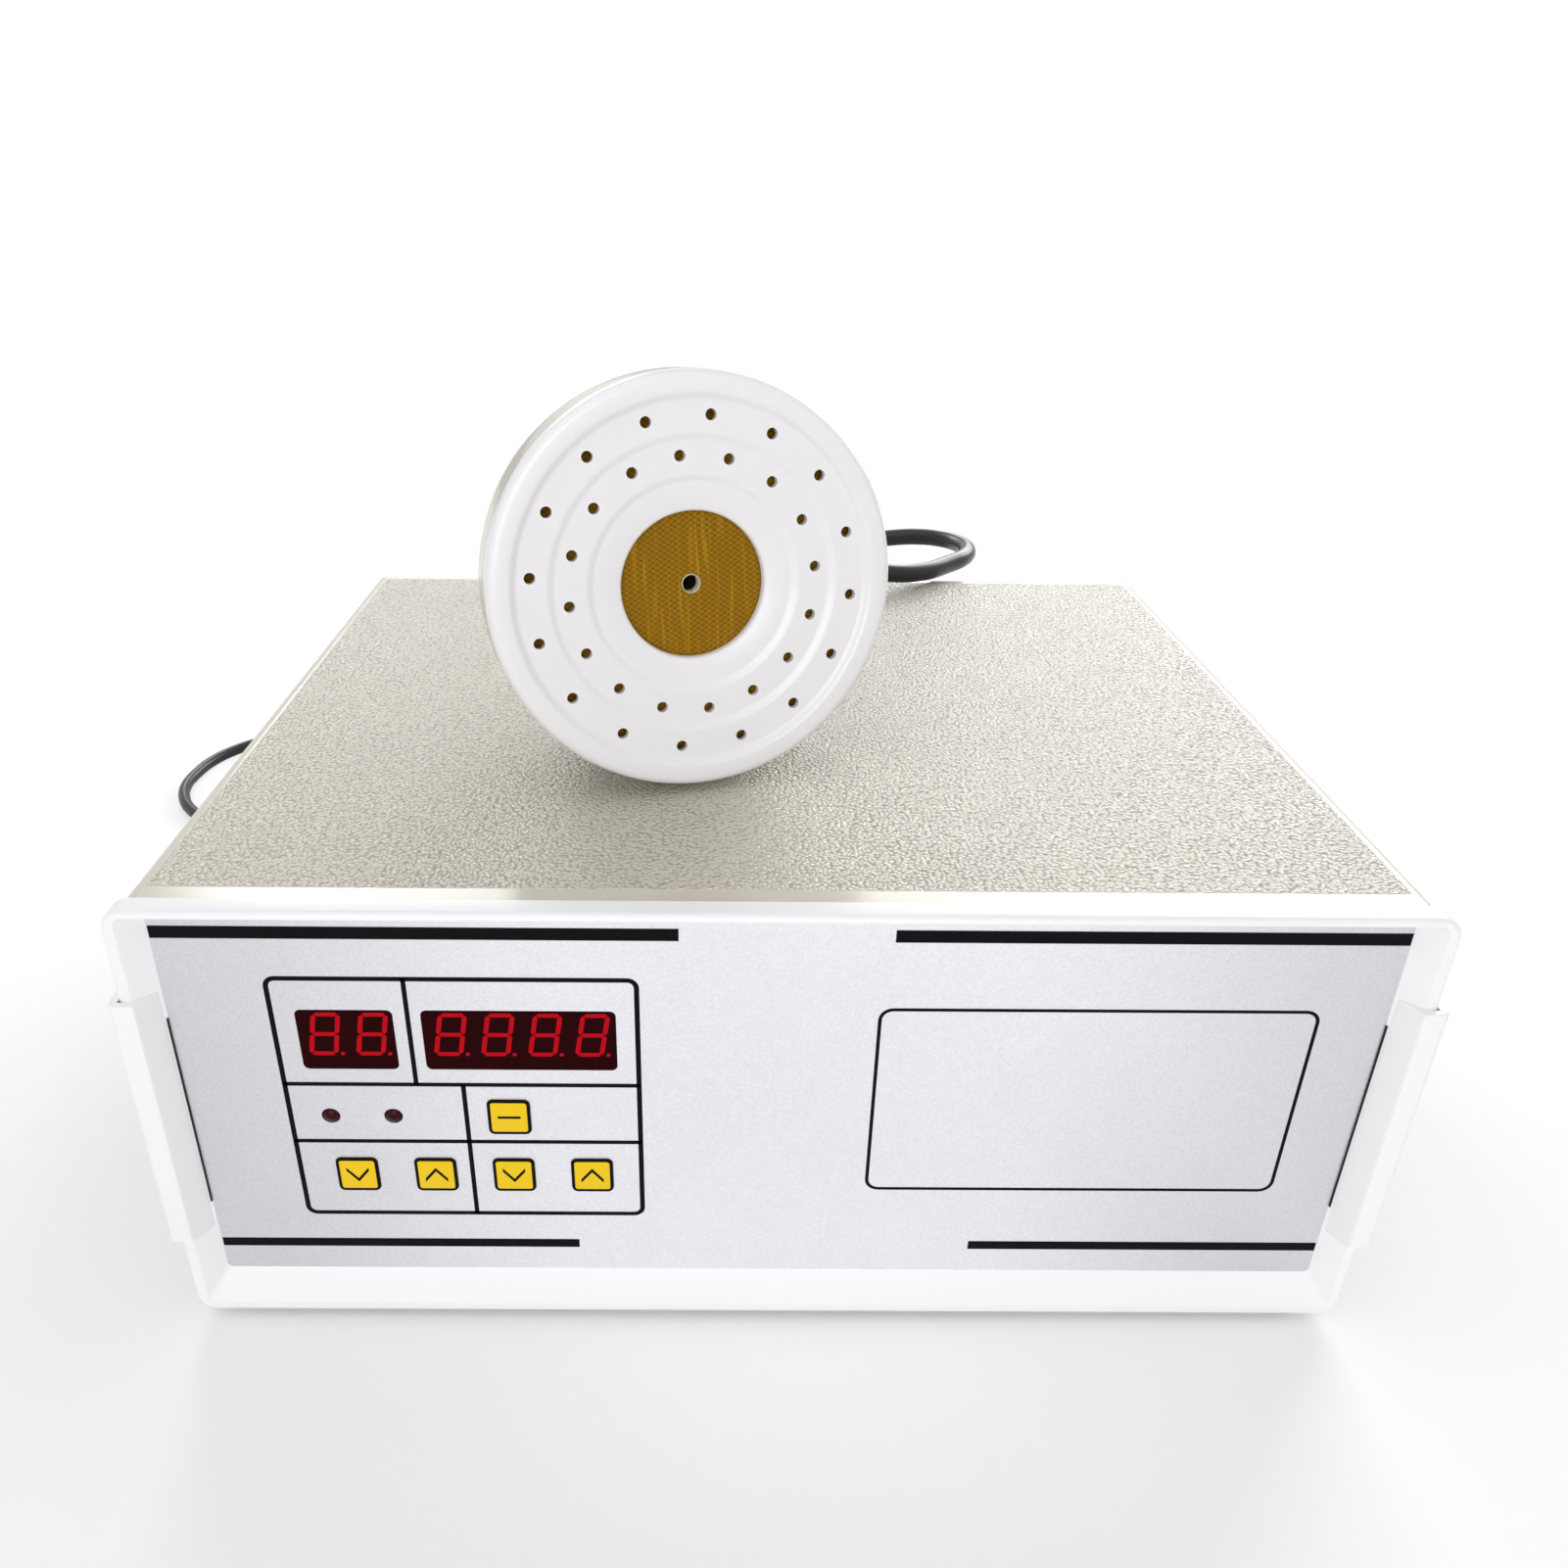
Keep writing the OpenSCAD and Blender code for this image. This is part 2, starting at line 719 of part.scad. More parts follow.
module control_board() {
    color("darkgreen") difference() {
        slab(board_face, board_face + board_t) translate([board_x, board_z])
            square([board_w, board_h], center = true);
        standoff_places() rod(0, 0, screw_d + 2 * seat_gap, board_face - 1, board_face + board_t + 1);
    }
}

module key_switches() {
    switch_size = 6;
    color("black") for (place = concat([zero_place], key_row)) {
        slab(board_face - 3.5, board_face) panel_place(place) square(switch_size, center = true);
        translate([place[0], 0, opening_low + place[1]]) rod(0, 0, 3.5, plunger_top, board_face - 3.4);
    }
}

module board_standoffs() {
    color("goldenrod") standoff_places() {
        rod(0, 0, standoff_d, panel_t, board_face);
        rod(0, 0, screw_d, board_face - 0.5, board_face + board_t + 0.5);
        rod(0, 0, screw_head_d, board_face + board_t, board_face + board_t + screw_head_h);
    }
}

// Rear panel and what it carries
module fan_corners() {
    for (x = [-1, 1], z = [-1, 1])
        translate([fan_x + x * fan_hole_pitch / 2, 0, fan_z + z * fan_hole_pitch / 2]) children();
}

module rear_panel() {
    color("gainsboro") difference() {
        slab(rear_inner, rear_face) case_outline(case_wall + seat_gap);
        rod(fan_x, fan_z, fan_bore_d, rear_inner - 1, rear_face + 1);
        fan_corners() rod(0, 0, screw_d + 2 * seat_gap, rear_inner - 1, rear_face + 1);
        slab(rear_inner - 1, rear_face + 1) translate([mains_x, switch_z])
            square([switch_w + 2 * seat_gap, switch_h + 2 * seat_gap], center = true);
        rod(mains_x, fuse_z, fuse_d + 2 * seat_gap, rear_inner - 1, rear_face + 1);
        rod(mains_x, outlet_z, cord_d + 6 + 2 * seat_gap, rear_inner - 1, rear_face + 1);
        rod(lead_outlet_x, outlet_z, lead_d + 8 + 2 * seat_gap, rear_inner - 1, rear_face + 1);
    }
}

module switch_housing() {
    color("black") difference() {
        union() {
            slab(switch_deep, rear_face) translate([mains_x, switch_z])
                square([switch_w, switch_h], center = true);
            slab(rear_face, rear_face + switch_lip) translate([mains_x, switch_z])
                rounded_rect(switch_w + 3, switch_h + 3, 1);
            for (z = [-6, 0, 6])
                slab(switch_deep - 8, switch_deep + 1) translate([mains_x, switch_z + z])
                    square([4.8, 0.8], center = true);
        }
        slab(switch_deep + 6, rear_face + switch_lip + 1) translate([mains_x, switch_z])
            square([rocker_w + 2 * slide_gap, rocker_h + 2], center = true);
        translate([mains_x, panel_y + switch_pivot, switch_z]) rotate([0, 90, 0])
            cylinder(d = rocker_pin_d + 2 * pin_gap, h = rocker_w + 2, center = true);
    }
}

// The rocker rests with its lower end pressed in
module power_rocker() {
    dish = 1.4;
    crest = 3.4;
    heel = 3;
    color("red") translate([mains_x, panel_y + switch_pivot, switch_z]) rotate([-rocker_tilt, 0, 0]) {
        rotate([90, 0, 90]) linear_extrude(rocker_w, center = true) polygon([
            [crest, rocker_h / 2], [dish + 0.4, rocker_h / 4], [dish, 0], [dish + 0.4, -rocker_h / 4],
            [crest, -rocker_h / 2], [crest - 2, -rocker_h / 2], [-heel, -rocker_h / 4],
            [-heel, rocker_h / 4], [crest - 2, rocker_h / 2]
        ]);
        rotate([0, 90, 0]) cylinder(d = rocker_pin_d, h = rocker_w + 1.6, center = true);
    }
}

module fuse_holder() {
    nut_t = 3;
    color("dimgray") difference() {
        union() {
            rod(mains_x, fuse_z, fuse_d, fuse_deep, rear_face + 0.5);
            rod(mains_x, fuse_z, fuse_d + 5, rear_face, rear_face + fuse_flange_t);
            translate([mains_x, panel_y + rear_inner - nut_t, fuse_z]) rotate([-90, 0, 0])
                cylinder(d = fuse_d + 7, h = nut_t, $fn = 6);
        }
        rod(mains_x, fuse_z, fuse_bore_d + 2 * pin_gap, fuse_deep + 4, rear_face + fuse_flange_t + 1);
    }
}

module fuse_cap() {
    grip_from = rear_face + fuse_flange_t + seat_gap;
    flutes = 12;
    color("black") difference() {
        union() {
            rod(mains_x, fuse_z, fuse_cap_d, grip_from, rear_reach);
            rod(mains_x, fuse_z, fuse_bore_d, fuse_deep + 6, grip_from + 0.5);
        }
        translate([mains_x - fuse_cap_d, panel_y + rear_reach - 1.6, fuse_z - 0.8])
            cube([2 * fuse_cap_d, 2, 1.6]);
        for (i = [0:flutes - 1])
            translate([mains_x, 0, fuse_z]) rotate([0, 360 * i / flutes, 0])
                rod(fuse_cap_d / 2 + 0.3, 0, 1.6, grip_from + 1, rear_reach + 1);
    }
}

// Axial cooling fan: square frame, motor hub on three struts, rotor on a shaft
module fan_frame() {
    strut_t = 3;
    color("black") {
        difference() {
            slab(fan_front, rear_inner) translate([fan_x, fan_z]) difference() {
                rounded_rect(fan_size, fan_size, 4);
                circle(d = fan_bore_d);
            }
            fan_corners() rod(0, 0, screw_d + 2 * seat_gap, fan_front - 1, rear_inner + 1);
            slab(fan_front + 4, rear_inner - 4) translate([fan_x, fan_z]) difference() {
                square(fan_size + 1, center = true);
                circle(d = fan_size - 0.6);
            }
        }
        slab(fan_front, fan_front + strut_t) translate([fan_x, fan_z]) {
            circle(d = fan_hub_d);
            for (a = [30, 150, 270])
                rotate(a) translate([0, -2]) square([fan_bore_d / 2 + 0.5, 4]);
        }
        rod(fan_x, fan_z, fan_shaft_d, fan_front + strut_t - 0.5, rear_inner - 4);
    }
}

module fan_rotor() {
    hub_from = fan_front + 4;
    hub_to = rear_inner - 2.5;
    tip_d = fan_bore_d - 1.6;
    color("dimgray") difference() {
        union() {
            rod(fan_x, fan_z, fan_hub_d, hub_from, hub_to);
            intersection() {
                slab(hub_from, hub_to) translate([fan_x, fan_z]) difference() {
                    circle(d = tip_d);
                    circle(d = fan_hub_d - 2);
                }
                translate([fan_x, panel_y + (hub_from + hub_to) / 2, fan_z])
                    for (i = [0:fan_blades - 1])
                        rotate([0, 360 * i / fan_blades, 0]) translate([tip_d / 4, 0, 0])
                            rotate([42, 0, 0]) cube([tip_d / 2, 1.6, 40], center = true);
            }
        }
        rod(fan_x, fan_z, fan_shaft_d + 2 * pin_gap, hub_from - 1, hub_to - 1);
    }
}

module fan_guard() {
    wire = 2;
    ring_count = 4;
    ring_gap = (fan_bore_d / 2 - 2) / ring_count;
    guard_mid = rear_face + wire / 2;
    ear = screw_head_d + 3;
    color("silver") difference() {
        union() {
            for (i = [1:ring_count])
                translate([fan_x, panel_y + guard_mid + wire * 0.8, fan_z]) rotate([90, 0, 0])
                    rotate_extrude() translate([i * ring_gap, 0]) circle(d = wire, $fn = 16);
            translate([fan_x, panel_y + guard_mid, fan_z]) for (a = [45:90:315])
                rotate([0, a, 0]) translate([fan_hole_pitch / sqrt(2), 0, 0]) rotate([0, -90, 0])
                    cylinder(d = wire, h = fan_hole_pitch / sqrt(2) - ring_gap + 1);
            fan_corners() rod(0, 0, ear, rear_face, rear_face + wire);
        }
        fan_corners() rod(0, 0, screw_d + 2 * seat_gap, rear_face - 1, rear_face + wire + 1);
    }
}

module fan_screws() {
    head_at = rear_face + 2;
    color("silver") fan_corners() {
        rod(0, 0, screw_head_d, head_at, head_at + screw_head_h);
        rod(0, 0, screw_d, rear_inner - 8, head_at + 0.5);
        translate([0, panel_y + rear_inner - 4 - 2.4, 0]) rotate([-90, 0, 0])
            cylinder(d = 2 * screw_d, h = 2.4, $fn = 6);
    }
}

// Power parts on the floor of the case
module power_posts() {
    for (x = [-1, 1], y = [-1, 1])
        translate([x * (power_board_w / 2 - 8), panel_y + power_board_y + y * (power_board_d / 2 - 8), 0])
            children();
}

module power_board() {
    color("darkgreen") difference() {
        translate([-power_board_w / 2, panel_y + power_board_y - power_board_d / 2, power_board_z])
            cube([power_board_w, power_board_d, board_t]);
        power_posts() translate([0, 0, power_board_z - 1])
            cylinder(d = screw_d + 2 * seat_gap, h = board_t + 2);
    }
}

module heat_sink() {
    fin_t = 2;
    fin_pitch = (sink_w - fin_t) / (sink_fins - 1);
    color("silver") translate([sink_x, panel_y + power_board_y + sink_len / 2, power_board_z + board_t])
        rotate([90, 0, 0]) linear_extrude(sink_len) {
            translate([-sink_w / 2, 0]) square([sink_w, sink_base_t]);
            for (i = [0:sink_fins - 1])
                translate([-sink_w / 2 + i * fin_pitch, 0]) square([fin_t, sink_h]);
        }
}

module power_transistors() {
    body = [15.6, 20, 5];
    tab = 2;
    color("black") for (i = [-1, 0, 1])
        translate([sink_x - sink_w / 2 - body[2], panel_y + power_board_y + i * transistor_pitch, 0])
        translate([0, -body[0] / 2, power_board_z + board_t]) {
            translate([0, 0, 6]) cube([body[2], body[0], body[1]]);
            for (leg = [0.18, 0.5, 0.82])
                translate([body[2] / 2 - 0.6, body[0] * leg - 0.6, 0]) cube([1.2, 1.2, 6.5]);
            translate([body[2] - tab, 0, 25]) cube([tab, body[0], 3]);
        }
}

module transformer_core() {
    color("gray") translate([core_x, panel_y + core_y + core_stack / 2, power_board_z + board_t])
        rotate([90, 0, 0]) linear_extrude(core_stack) difference() {
            translate([-core_w / 2, 0]) square([core_w, core_h]);
            for (side = [-1, 1])
                translate([side * core_leg * 1.5 - core_leg / 2, core_leg])
                    square([core_leg, core_h - 2 * core_leg]);
        }
}

module transformer_winding() {
    tall = core_h - 2 * core_leg - 2 * seat_gap;
    low = power_board_z + board_t + core_leg + seat_gap;
    color("goldenrod") translate([core_x, panel_y + core_y, low]) difference() {
        linear_extrude(tall)
            rounded_rect(4 * core_leg - 2 * seat_gap, core_stack + 2 * core_leg, core_leg / 2);
        translate([0, 0, -1]) linear_extrude(tall + 2)
            square([2 * core_leg + 2 * seat_gap, core_stack + 2 * seat_gap], center = true);
    }
}

module filter_capacitors() {
    color("midnightblue") for (i = [0, 1])
        translate([core_x - 14 + i * (cap_d + 6), panel_y + cap_y, power_board_z + board_t]) {
            cylinder(d = cap_d, h = cap_h);
            translate([0, 0, cap_h]) cylinder(d1 = cap_d, d2 = cap_d - 2, h = 1);
        }
}

module resonance_capacitor() {
    color("lightgray") translate([film_cap_x, panel_y + core_y, power_board_z + board_t + film_cap[2] / 2])
        cube(film_cap, center = true);
}

// Feet and screws
module feet() {
    color("black") foot_places() {
        difference() {
            cylinder(d1 = foot_d - 3, d2 = foot_d, h = foot_h);
            translate([0, 0, -1]) cylinder(d = foot_d / 3, h = 2.5);
        }
        translate([0, 0, foot_h - 0.5]) cylinder(d = foot_stem_d, h = case_wall + 0.5);
    }
}

module case_screws() {
    color("silver") boss_places() {
        translate([0, 0, boss_seat - screw_head_h]) cylinder(d = screw_head_d, h = screw_head_h);
        translate([0, 0, boss_seat - 0.5]) cylinder(d = screw_d, h = 22);
    }
}

module bezel_screws() {
    color("silver") {
        bezel_screw_bores(screw_head_d, bezel_screw_seat - screw_head_h, bezel_screw_seat);
        bezel_screw_bores(screw_d, bezel_screw_seat - 0.5, shell_front + bezel_screw_len);
    }
}

// Cord outlets
module head_lead_gland() {
    hex = lead_d + 14;
    color("black") translate([lead_outlet_x, panel_y + rear_face, outlet_z]) rotate([-90, 0, 0]) {
        cylinder(d = hex, h = 5, $fn = 6);
        translate([0, 0, -rear_t - 6]) cylinder(d = lead_d + 8, h = rear_t + 7);
        translate([0, 0, 4.5]) cylinder(d = lead_d + 9, h = 3.5);
        translate([0, 0, 8]) cylinder(d = hex - 2, h = 7, $fn = 6);
        translate([0, 0, 14.5]) cylinder(d1 = hex - 4, d2 = lead_d + 3, h = lead_gland_len - 14.5);
        translate([0, 0, -rear_t - 4]) cylinder(d = hex, h = 4, $fn = 6);
    }
}

module power_cord_gland() {
    rib_count = 6;
    rib_from = 7;
    rib_pitch = (relief_len - rib_from - 2) / rib_count;
    color("black") translate([mains_x, panel_y + rear_face, outlet_z]) rotate([-90, 0, 0]) difference() {
        union() {
            cylinder(d = cord_d + 11, h = 3);
            translate([0, 0, -rear_t - 4]) cylinder(d = cord_d + 6, h = rear_t + 5);
            translate([0, 0, 2.5]) cylinder(d1 = cord_d + 8, d2 = cord_d + 2.4, h = relief_len - 2.5);
        }
        for (i = [0:rib_count - 1])
            translate([0, 0, rib_from + i * rib_pitch]) rotate([0, 0, 90 * (i % 2)])
                for (side = [-1, 1])
                    translate([side * (cord_d / 2 + 4.4), 0, 0]) cube([6, 30, 1.3], center = true);
    }
}

// Sealing head: dished and drilled face plate
module face_profile() {
    r0 = head_r;
    inner = face_open_d / 2;
    s = face_step;
    front = lip_r * 0.6;
    edge = [for (a = [0:15:90]) [r0 - lip_r + lip_r * cos(a), lip_r - lip_r * sin(a)]];
    polygon(concat(
        [[r0, face_skirt]], edge, [
            [step_radii[0] + front, 0], [step_radii[0], front], [step_radii[1] + s, front],
            [step_radii[1], front + s], [step_radii[2] + s, front + s], [step_radii[2], front + 2 * s],
            [inner + s, front + 2 * s], [inner, front + 3 * s], [inner, face_mid + face_t],
            [step_radii[2] - face_t, face_mid + face_t], [step_radii[1] - face_t, front + s + face_t],
            [step_radii[0] - face_t, front + face_t], [r0 - head_wall, front + face_t],
            [r0 - head_wall, face_skirt]
        ]));
}

module face_plate() {
    color("white") laid_down() difference() {
        rotate_extrude() face_profile();
        for (row = [[outer_row_r, outer_row_turn], [inner_row_r, inner_row_turn]], i = [0:row_holes - 1])
            rotate(row[1] - 360 * i / row_holes) translate([row[0], 0, -1]) cylinder(d = hole_d, h = 12);
    }
}

module coil_board() {
    color("peru") laid_down() difference() {
        translate([0, 0, board_at]) cylinder(r = coil_board_r, h = coil_board_t);
        translate([0, 0, board_at - 1]) cylinder(d = 5.8, h = coil_board_t + 2);
    }
}

// A flat spiral of half turns whose middles step from side to side
module induction_coil() {
    half_turns = 2 * coil_turns;
    color("chocolate") laid_down() translate([0, 0, coil_at]) for (i = [0:half_turns - 1])
        let (r = coil_inner_r + i * coil_pitch / 2)
            translate([i % 2 == 0 ? 0 : -coil_pitch / 2, 0, 0]) rotate(180 * (i % 2))
                rotate_extrude(angle = 180) translate([r, 0]) circle(d = coil_wire_d, $fn = 16);
}

module ferrite_bars() {
    from_r = coil_inner_r;
    to_r = coil_board_r - 3;
    color("dimgray") laid_down() for (i = [0:ferrite_count - 1])
        rotate(360 * i / ferrite_count) translate([from_r, -ferrite_w / 2, ferrite_at])
            cube([to_r - from_r, ferrite_w, ferrite_t]);
}

// Cup of the head: straight band, tapered body, rounded shoulder and a neck for the handle
module cup_profile(inset, from) {
    r_a = head_r - inset;
    r_b = taper_end_r - inset;
    bend = shoulder_r - inset;
    arc_mid = [taper_end_r - shoulder_r, head_body];
    neck_top = neck_end + (inset > 0 ? 1 : 0);
    polygon(concat(
        [[0, from], [r_a, from], [r_a, head_band], [r_b, head_body]],
        [for (a = [15:15:90]) arc_mid + bend * [cos(a), sin(a)]],
        [[neck_r - inset, head_body + bend], [neck_r - inset, neck_top], [0, neck_top]]
    ));
}

module head_cup() {
    slots = 12;
    collar_r = neck_r + 2.5;
    color("ivory") laid_down() difference() {
        union() {
            rotate_extrude() difference() {
                cup_profile(0, face_skirt + seat_gap);
                cup_profile(head_wall, face_skirt - 1);
            }
            rotate_extrude() translate([coil_board_r + seat_gap, face_skirt + seat_gap])
                square([head_r - head_wall - coil_board_r, 6]);
            rotate_extrude() translate([neck_r - 0.5, neck_end - 3]) square([collar_r - neck_r + 0.5, 3]);
            difference() {
                for (a = [30:60:330])
                    rotate(a) translate([coil_board_r - 12, -2, board_at + coil_board_t + seat_gap])
                        cube([head_r - coil_board_r + 10.5, 4, head_band - 6]);
                translate([0, 0, ferrite_at - 20]) cylinder(r = coil_board_r - 3.5, h = 60);
            }
        }
        for (i = [0:slots - 1])
            rotate(360 * i / slots + 15)
                translate([taper_end_r - shoulder_r * 0.3, 0, head_body + shoulder_r])
                    rotate([0, 45, 0]) cube([3, 9, 14], center = true);
    }
}

// Handle: two half shells, screwed together round the neck of the cup
module handle_profile(inset) {
    waist = 1.6;
    flare = 2;
    swell = 1.2;
    end_r = 8;
    steps = 12;
    r = handle_r - inset;
    from = handle_start - (inset > 0 ? 1 : 0);
    end = handle_end - inset;
    run = end - end_r - handle_start - 2;
    polygon(concat(
        [[0, from], [r + flare, from]],
        [for (i = [0:steps]) let (t = i / steps) [
            r + flare * (1 - t) * (1 - t) - waist * sin(180 * t) + swell * t * t,
            handle_start + 2 + run * t
        ]],
        [for (a = [15:15:75]) [r + swell - end_r + end_r * cos(a), end - end_r + end_r * sin(a)]],
        [[r + swell - end_r, end], [0, end]]
    ));
}

module handle_half(side) {
    color("ivory") laid_down() difference() {
        intersection() {
            union() {
                rotate_extrude() difference() {
                    handle_profile(0);
                    handle_profile(handle_wall);
                    square([neck_r + 3 + seat_gap, neck_end + seat_gap]);
                }
                rotate_extrude() translate([neck_r + seat_gap, handle_start])
                    square([handle_r - neck_r + 0.3, neck_end - 3 - seat_gap - handle_start]);
                translate([-switch_rib / 2, -6, button_at - 4]) cube([switch_rib, 8, 8]);
                for (z = handle_screw_ats)
                    translate([0, handle_r - 9, z]) rotate([0, 90, 0])
                        cylinder(d = boss_d, h = 2 * handle_r - 9, center = true);
            }
            translate([side > 0 ? 0.02 : -100 - 0.02, -100, 0]) cube([100, 200, 300]);
        }
        for (z = handle_screw_ats) {
            translate([0, handle_r - 9, z]) rotate([0, 90, 0])
                cylinder(d = screw_d + 2 * seat_gap, h = 2 * handle_r + 10, center = true);
            translate([handle_r - 8, handle_r - 9, z]) rotate([0, 90, 0])
                cylinder(d = screw_head_d + 2 * seat_gap, h = 20);
        }
        start_switch_body(seat_gap);
        translate([0, 0, button_at]) rotate([90, 0, 0])
            cylinder(d = button_d + 2 * slide_gap, h = handle_r + 10);
        translate([0, 0, handle_end - 12]) cylinder(r = sleeve_r - 2 + seat_gap, h = 20);
        translate([0, 0, handle_end - handle_wall - 5.2]) cylinder(r = sleeve_r + seat_gap, h = 5.2);
    }
}

module handle_left() { handle_half(-1); }

module handle_right() { handle_half(1); }

module handle_screws() {
    color("silver") laid_down() for (z = handle_screw_ats)
        translate([0, handle_r - 9, z]) rotate([0, 90, 0]) {
            translate([0, 0, handle_r - 8]) cylinder(d = screw_head_d, h = screw_head_h);
            translate([0, 0, 6 - handle_r]) cylinder(d = screw_d, h = 2 * handle_r - 13.5);
        }
}

module start_button() {
    color("green") laid_down() translate([0, 0, button_at]) rotate([90, 0, 0]) {
        translate([0, 0, button_flange]) cylinder(d = button_d, h = button_top - button_flange - 1);
        translate([0, 0, button_top - 1]) cylinder(d1 = button_d, d2 = button_d - 2, h = 1);
        translate([0, 0, button_flange]) cylinder(d = button_d + 2 * button_lip, h = 1);
    }
}

module start_switch_body(gap) {
    size = switch_body + 2 * gap * [1, 1, 1];
    translate([-size[0] / 2, 1.2 - switch_top - gap, button_at - size[2] / 2]) cube(size);
}

module start_switch() {
    color("black") laid_down() {
        start_switch_body(0);
        translate([-1.5, -switch_top, button_at - 1.5]) cube([3, 2, 3]);
    }
}

module lead_sleeve() {
    ring_count = 4;
    flange = handle_wall + seat_gap;
    color("black") laid_down() translate([0, 0, handle_end]) rotate_extrude() difference() {
        polygon([
            [0, -flange - 5], [sleeve_r, -flange - 5], [sleeve_r, -flange], [sleeve_r - 2, -flange],
            [sleeve_r - 2, 2], [lead_d / 2 + 1, sleeve_len], [0, sleeve_len]
        ]);
        for (i = [1:ring_count])
            translate([lead_d / 2 + 2.6 - 0.25 * i, 2 + i * (sleeve_len - 4) / (ring_count + 1)])
                circle(d = 1.6, $fn = 16);
    }
}

// Cords: a tube swept along points, with a ring across the path at each one
function unit(v) = v / norm(v);
function heading(pts, i) = unit(pts[min(i + 1, len(pts) - 1)] - pts[max(i - 1, 0)]);
function side_of(t, hint) = unit(hint - (hint * t) * t);
function sides_along(pts, i, hint) =
    i == len(pts) ? [] :
    let (s = side_of(heading(pts, i), hint)) concat([s], sides_along(pts, i + 1, s));
function ring(p, t, s, r, n) = let (u = cross(t, s))
    [for (k = [0:n - 1]) p + r * (cos(360 * k / n) * s + sin(360 * k / n) * u)];

module tube(route, d, n = 8) {
    pts = [for (p = route) [p[0], panel_y + p[1], p[2]]];
    sides = sides_along(pts, 0, [0.31, 0.17, 0.93]);
    rings = [for (i = [0:len(pts) - 1]) each ring(pts[i], heading(pts, i), sides[i], d / 2, n)];
    last = (len(pts) - 1) * n;
    polyhedron(rings, concat(
        [[for (k = [0:n - 1]) k]],
        [for (i = [0:len(pts) - 2], k = [0:n - 1])
            let (a = i * n + k, b = i * n + (k + 1) % n) [a, a + n, b + n, b]],
        [[for (k = [n - 1:-1:0]) last + k]]
    ));
}

// Where the lead leaves its sleeve, behind the panel
function head_axis() = [
    -sin(head_yaw) * cos(head_taper), cos(head_yaw) * cos(head_taper), -sin(head_taper)
];
function sleeve_end_point() = [head_x, head_y, head_z] + (handle_end + sleeve_len) * head_axis();

module head_lead() {
    start = [lead_start, lead_start + 1.2 * lead_d * head_axis()];
    gland_end = rear_face + lead_gland_len;
    end = [[lead_outlet_x, gland_end + 8, outlet_z - 1.2], [lead_outlet_x, gland_end, outlet_z]];
    color("black") {
        tube(concat(start, lead_route), lead_d);
        tube(concat(lead_return, end), lead_d);
    }
}

module coil_ring(place, r, d, across, high) {
    translate([place[0], panel_y + place[1], 0]) rotate_extrude() translate([r - across * d / 2, 0])
        square([across * d, high * d]);
}

module head_lead_coil() {
    color("black") coil_ring(lead_coil_place, lead_coil_r, lead_d, lead_coil_across, 1);
}

module power_cord() {
    start = [[mains_x, rear_face + relief_len, outlet_z]];
    color("black") tube(concat(start, cord_route), cord_d);
}

module power_cord_coil() {
    color("black") coil_ring(cord_coil_place, cord_coil_r, cord_d, cord_coil_across, cord_coil_layers);
}

module power_cord_tail() {
    color("black") tube(concat(cord_tail, [[plug_place[0], plug_place[1], plug_mid]]), cord_d);
}

module power_plug() {
    color("black") translate([plug_place[0], panel_y + plug_place[1], plug_mid]) rotate([0, 90, 0]) {
        cylinder(d1 = cord_d + 2, d2 = cord_d + 6, h = 16);
        hull() {
            translate([0, 0, 12]) linear_extrude(2) rounded_rect(10, 12, 4, $fn = 32);
            translate([0, 0, 24]) linear_extrude(plug_body - 24)
                rounded_rect(2 * plug_mid, 35, 9, $fn = 32);
        }
    }
    color("silver") for (side = [-1, 1])
        translate([plug_place[0], panel_y + plug_place[1] + side * plug_pin_pitch / 2, plug_mid])
            rotate([0, 90, 0]) translate([0, 0, plug_body - 0.5])
                cylinder(d = plug_pin_d, h = plug_pin_len + 0.5);
}

lower_shell();
upper_shell();
front_bezel();
left_grip();
right_grip();
front_panel();
time_window();
count_window();
time_display();
count_display();
power_lamp();
work_lamp();
zero_key();
time_down_key();
time_up_key();
power_down_key();
power_up_key();
control_board();
key_switches();
board_standoffs();
rear_panel();
switch_housing();
power_rocker();
fuse_holder();
fuse_cap();
fan_frame();
fan_rotor();
fan_guard();
fan_screws();
power_board();
heat_sink();
power_transistors();
transformer_core();
transformer_winding();
filter_capacitors();
resonance_capacitor();
feet();
case_screws();
bezel_screws();
head_lead_gland();
power_cord_gland();
face_plate();
coil_board();
induction_coil();
ferrite_bars();
head_cup();
handle_left();
handle_right();
handle_screws();
start_button();
start_switch();
lead_sleeve();
head_lead();
head_lead_coil();
power_cord();
power_cord_coil();
power_cord_tail();
power_plug();
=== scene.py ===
"""Looks of a hand-held induction cap sealer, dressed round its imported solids.

Everything is built in metres in the row frame: +Z up, and the control panel faces -Y. Sizes are
written in millimetres. Those with MM beside them are metres from there on, the others are turned
into metres where they are used.
"""

import logging
import math
from dataclasses import dataclass, field
from enum import Enum
from typing import Sequence

import bmesh
import bpy
from mathutils import Euler, Matrix, Vector

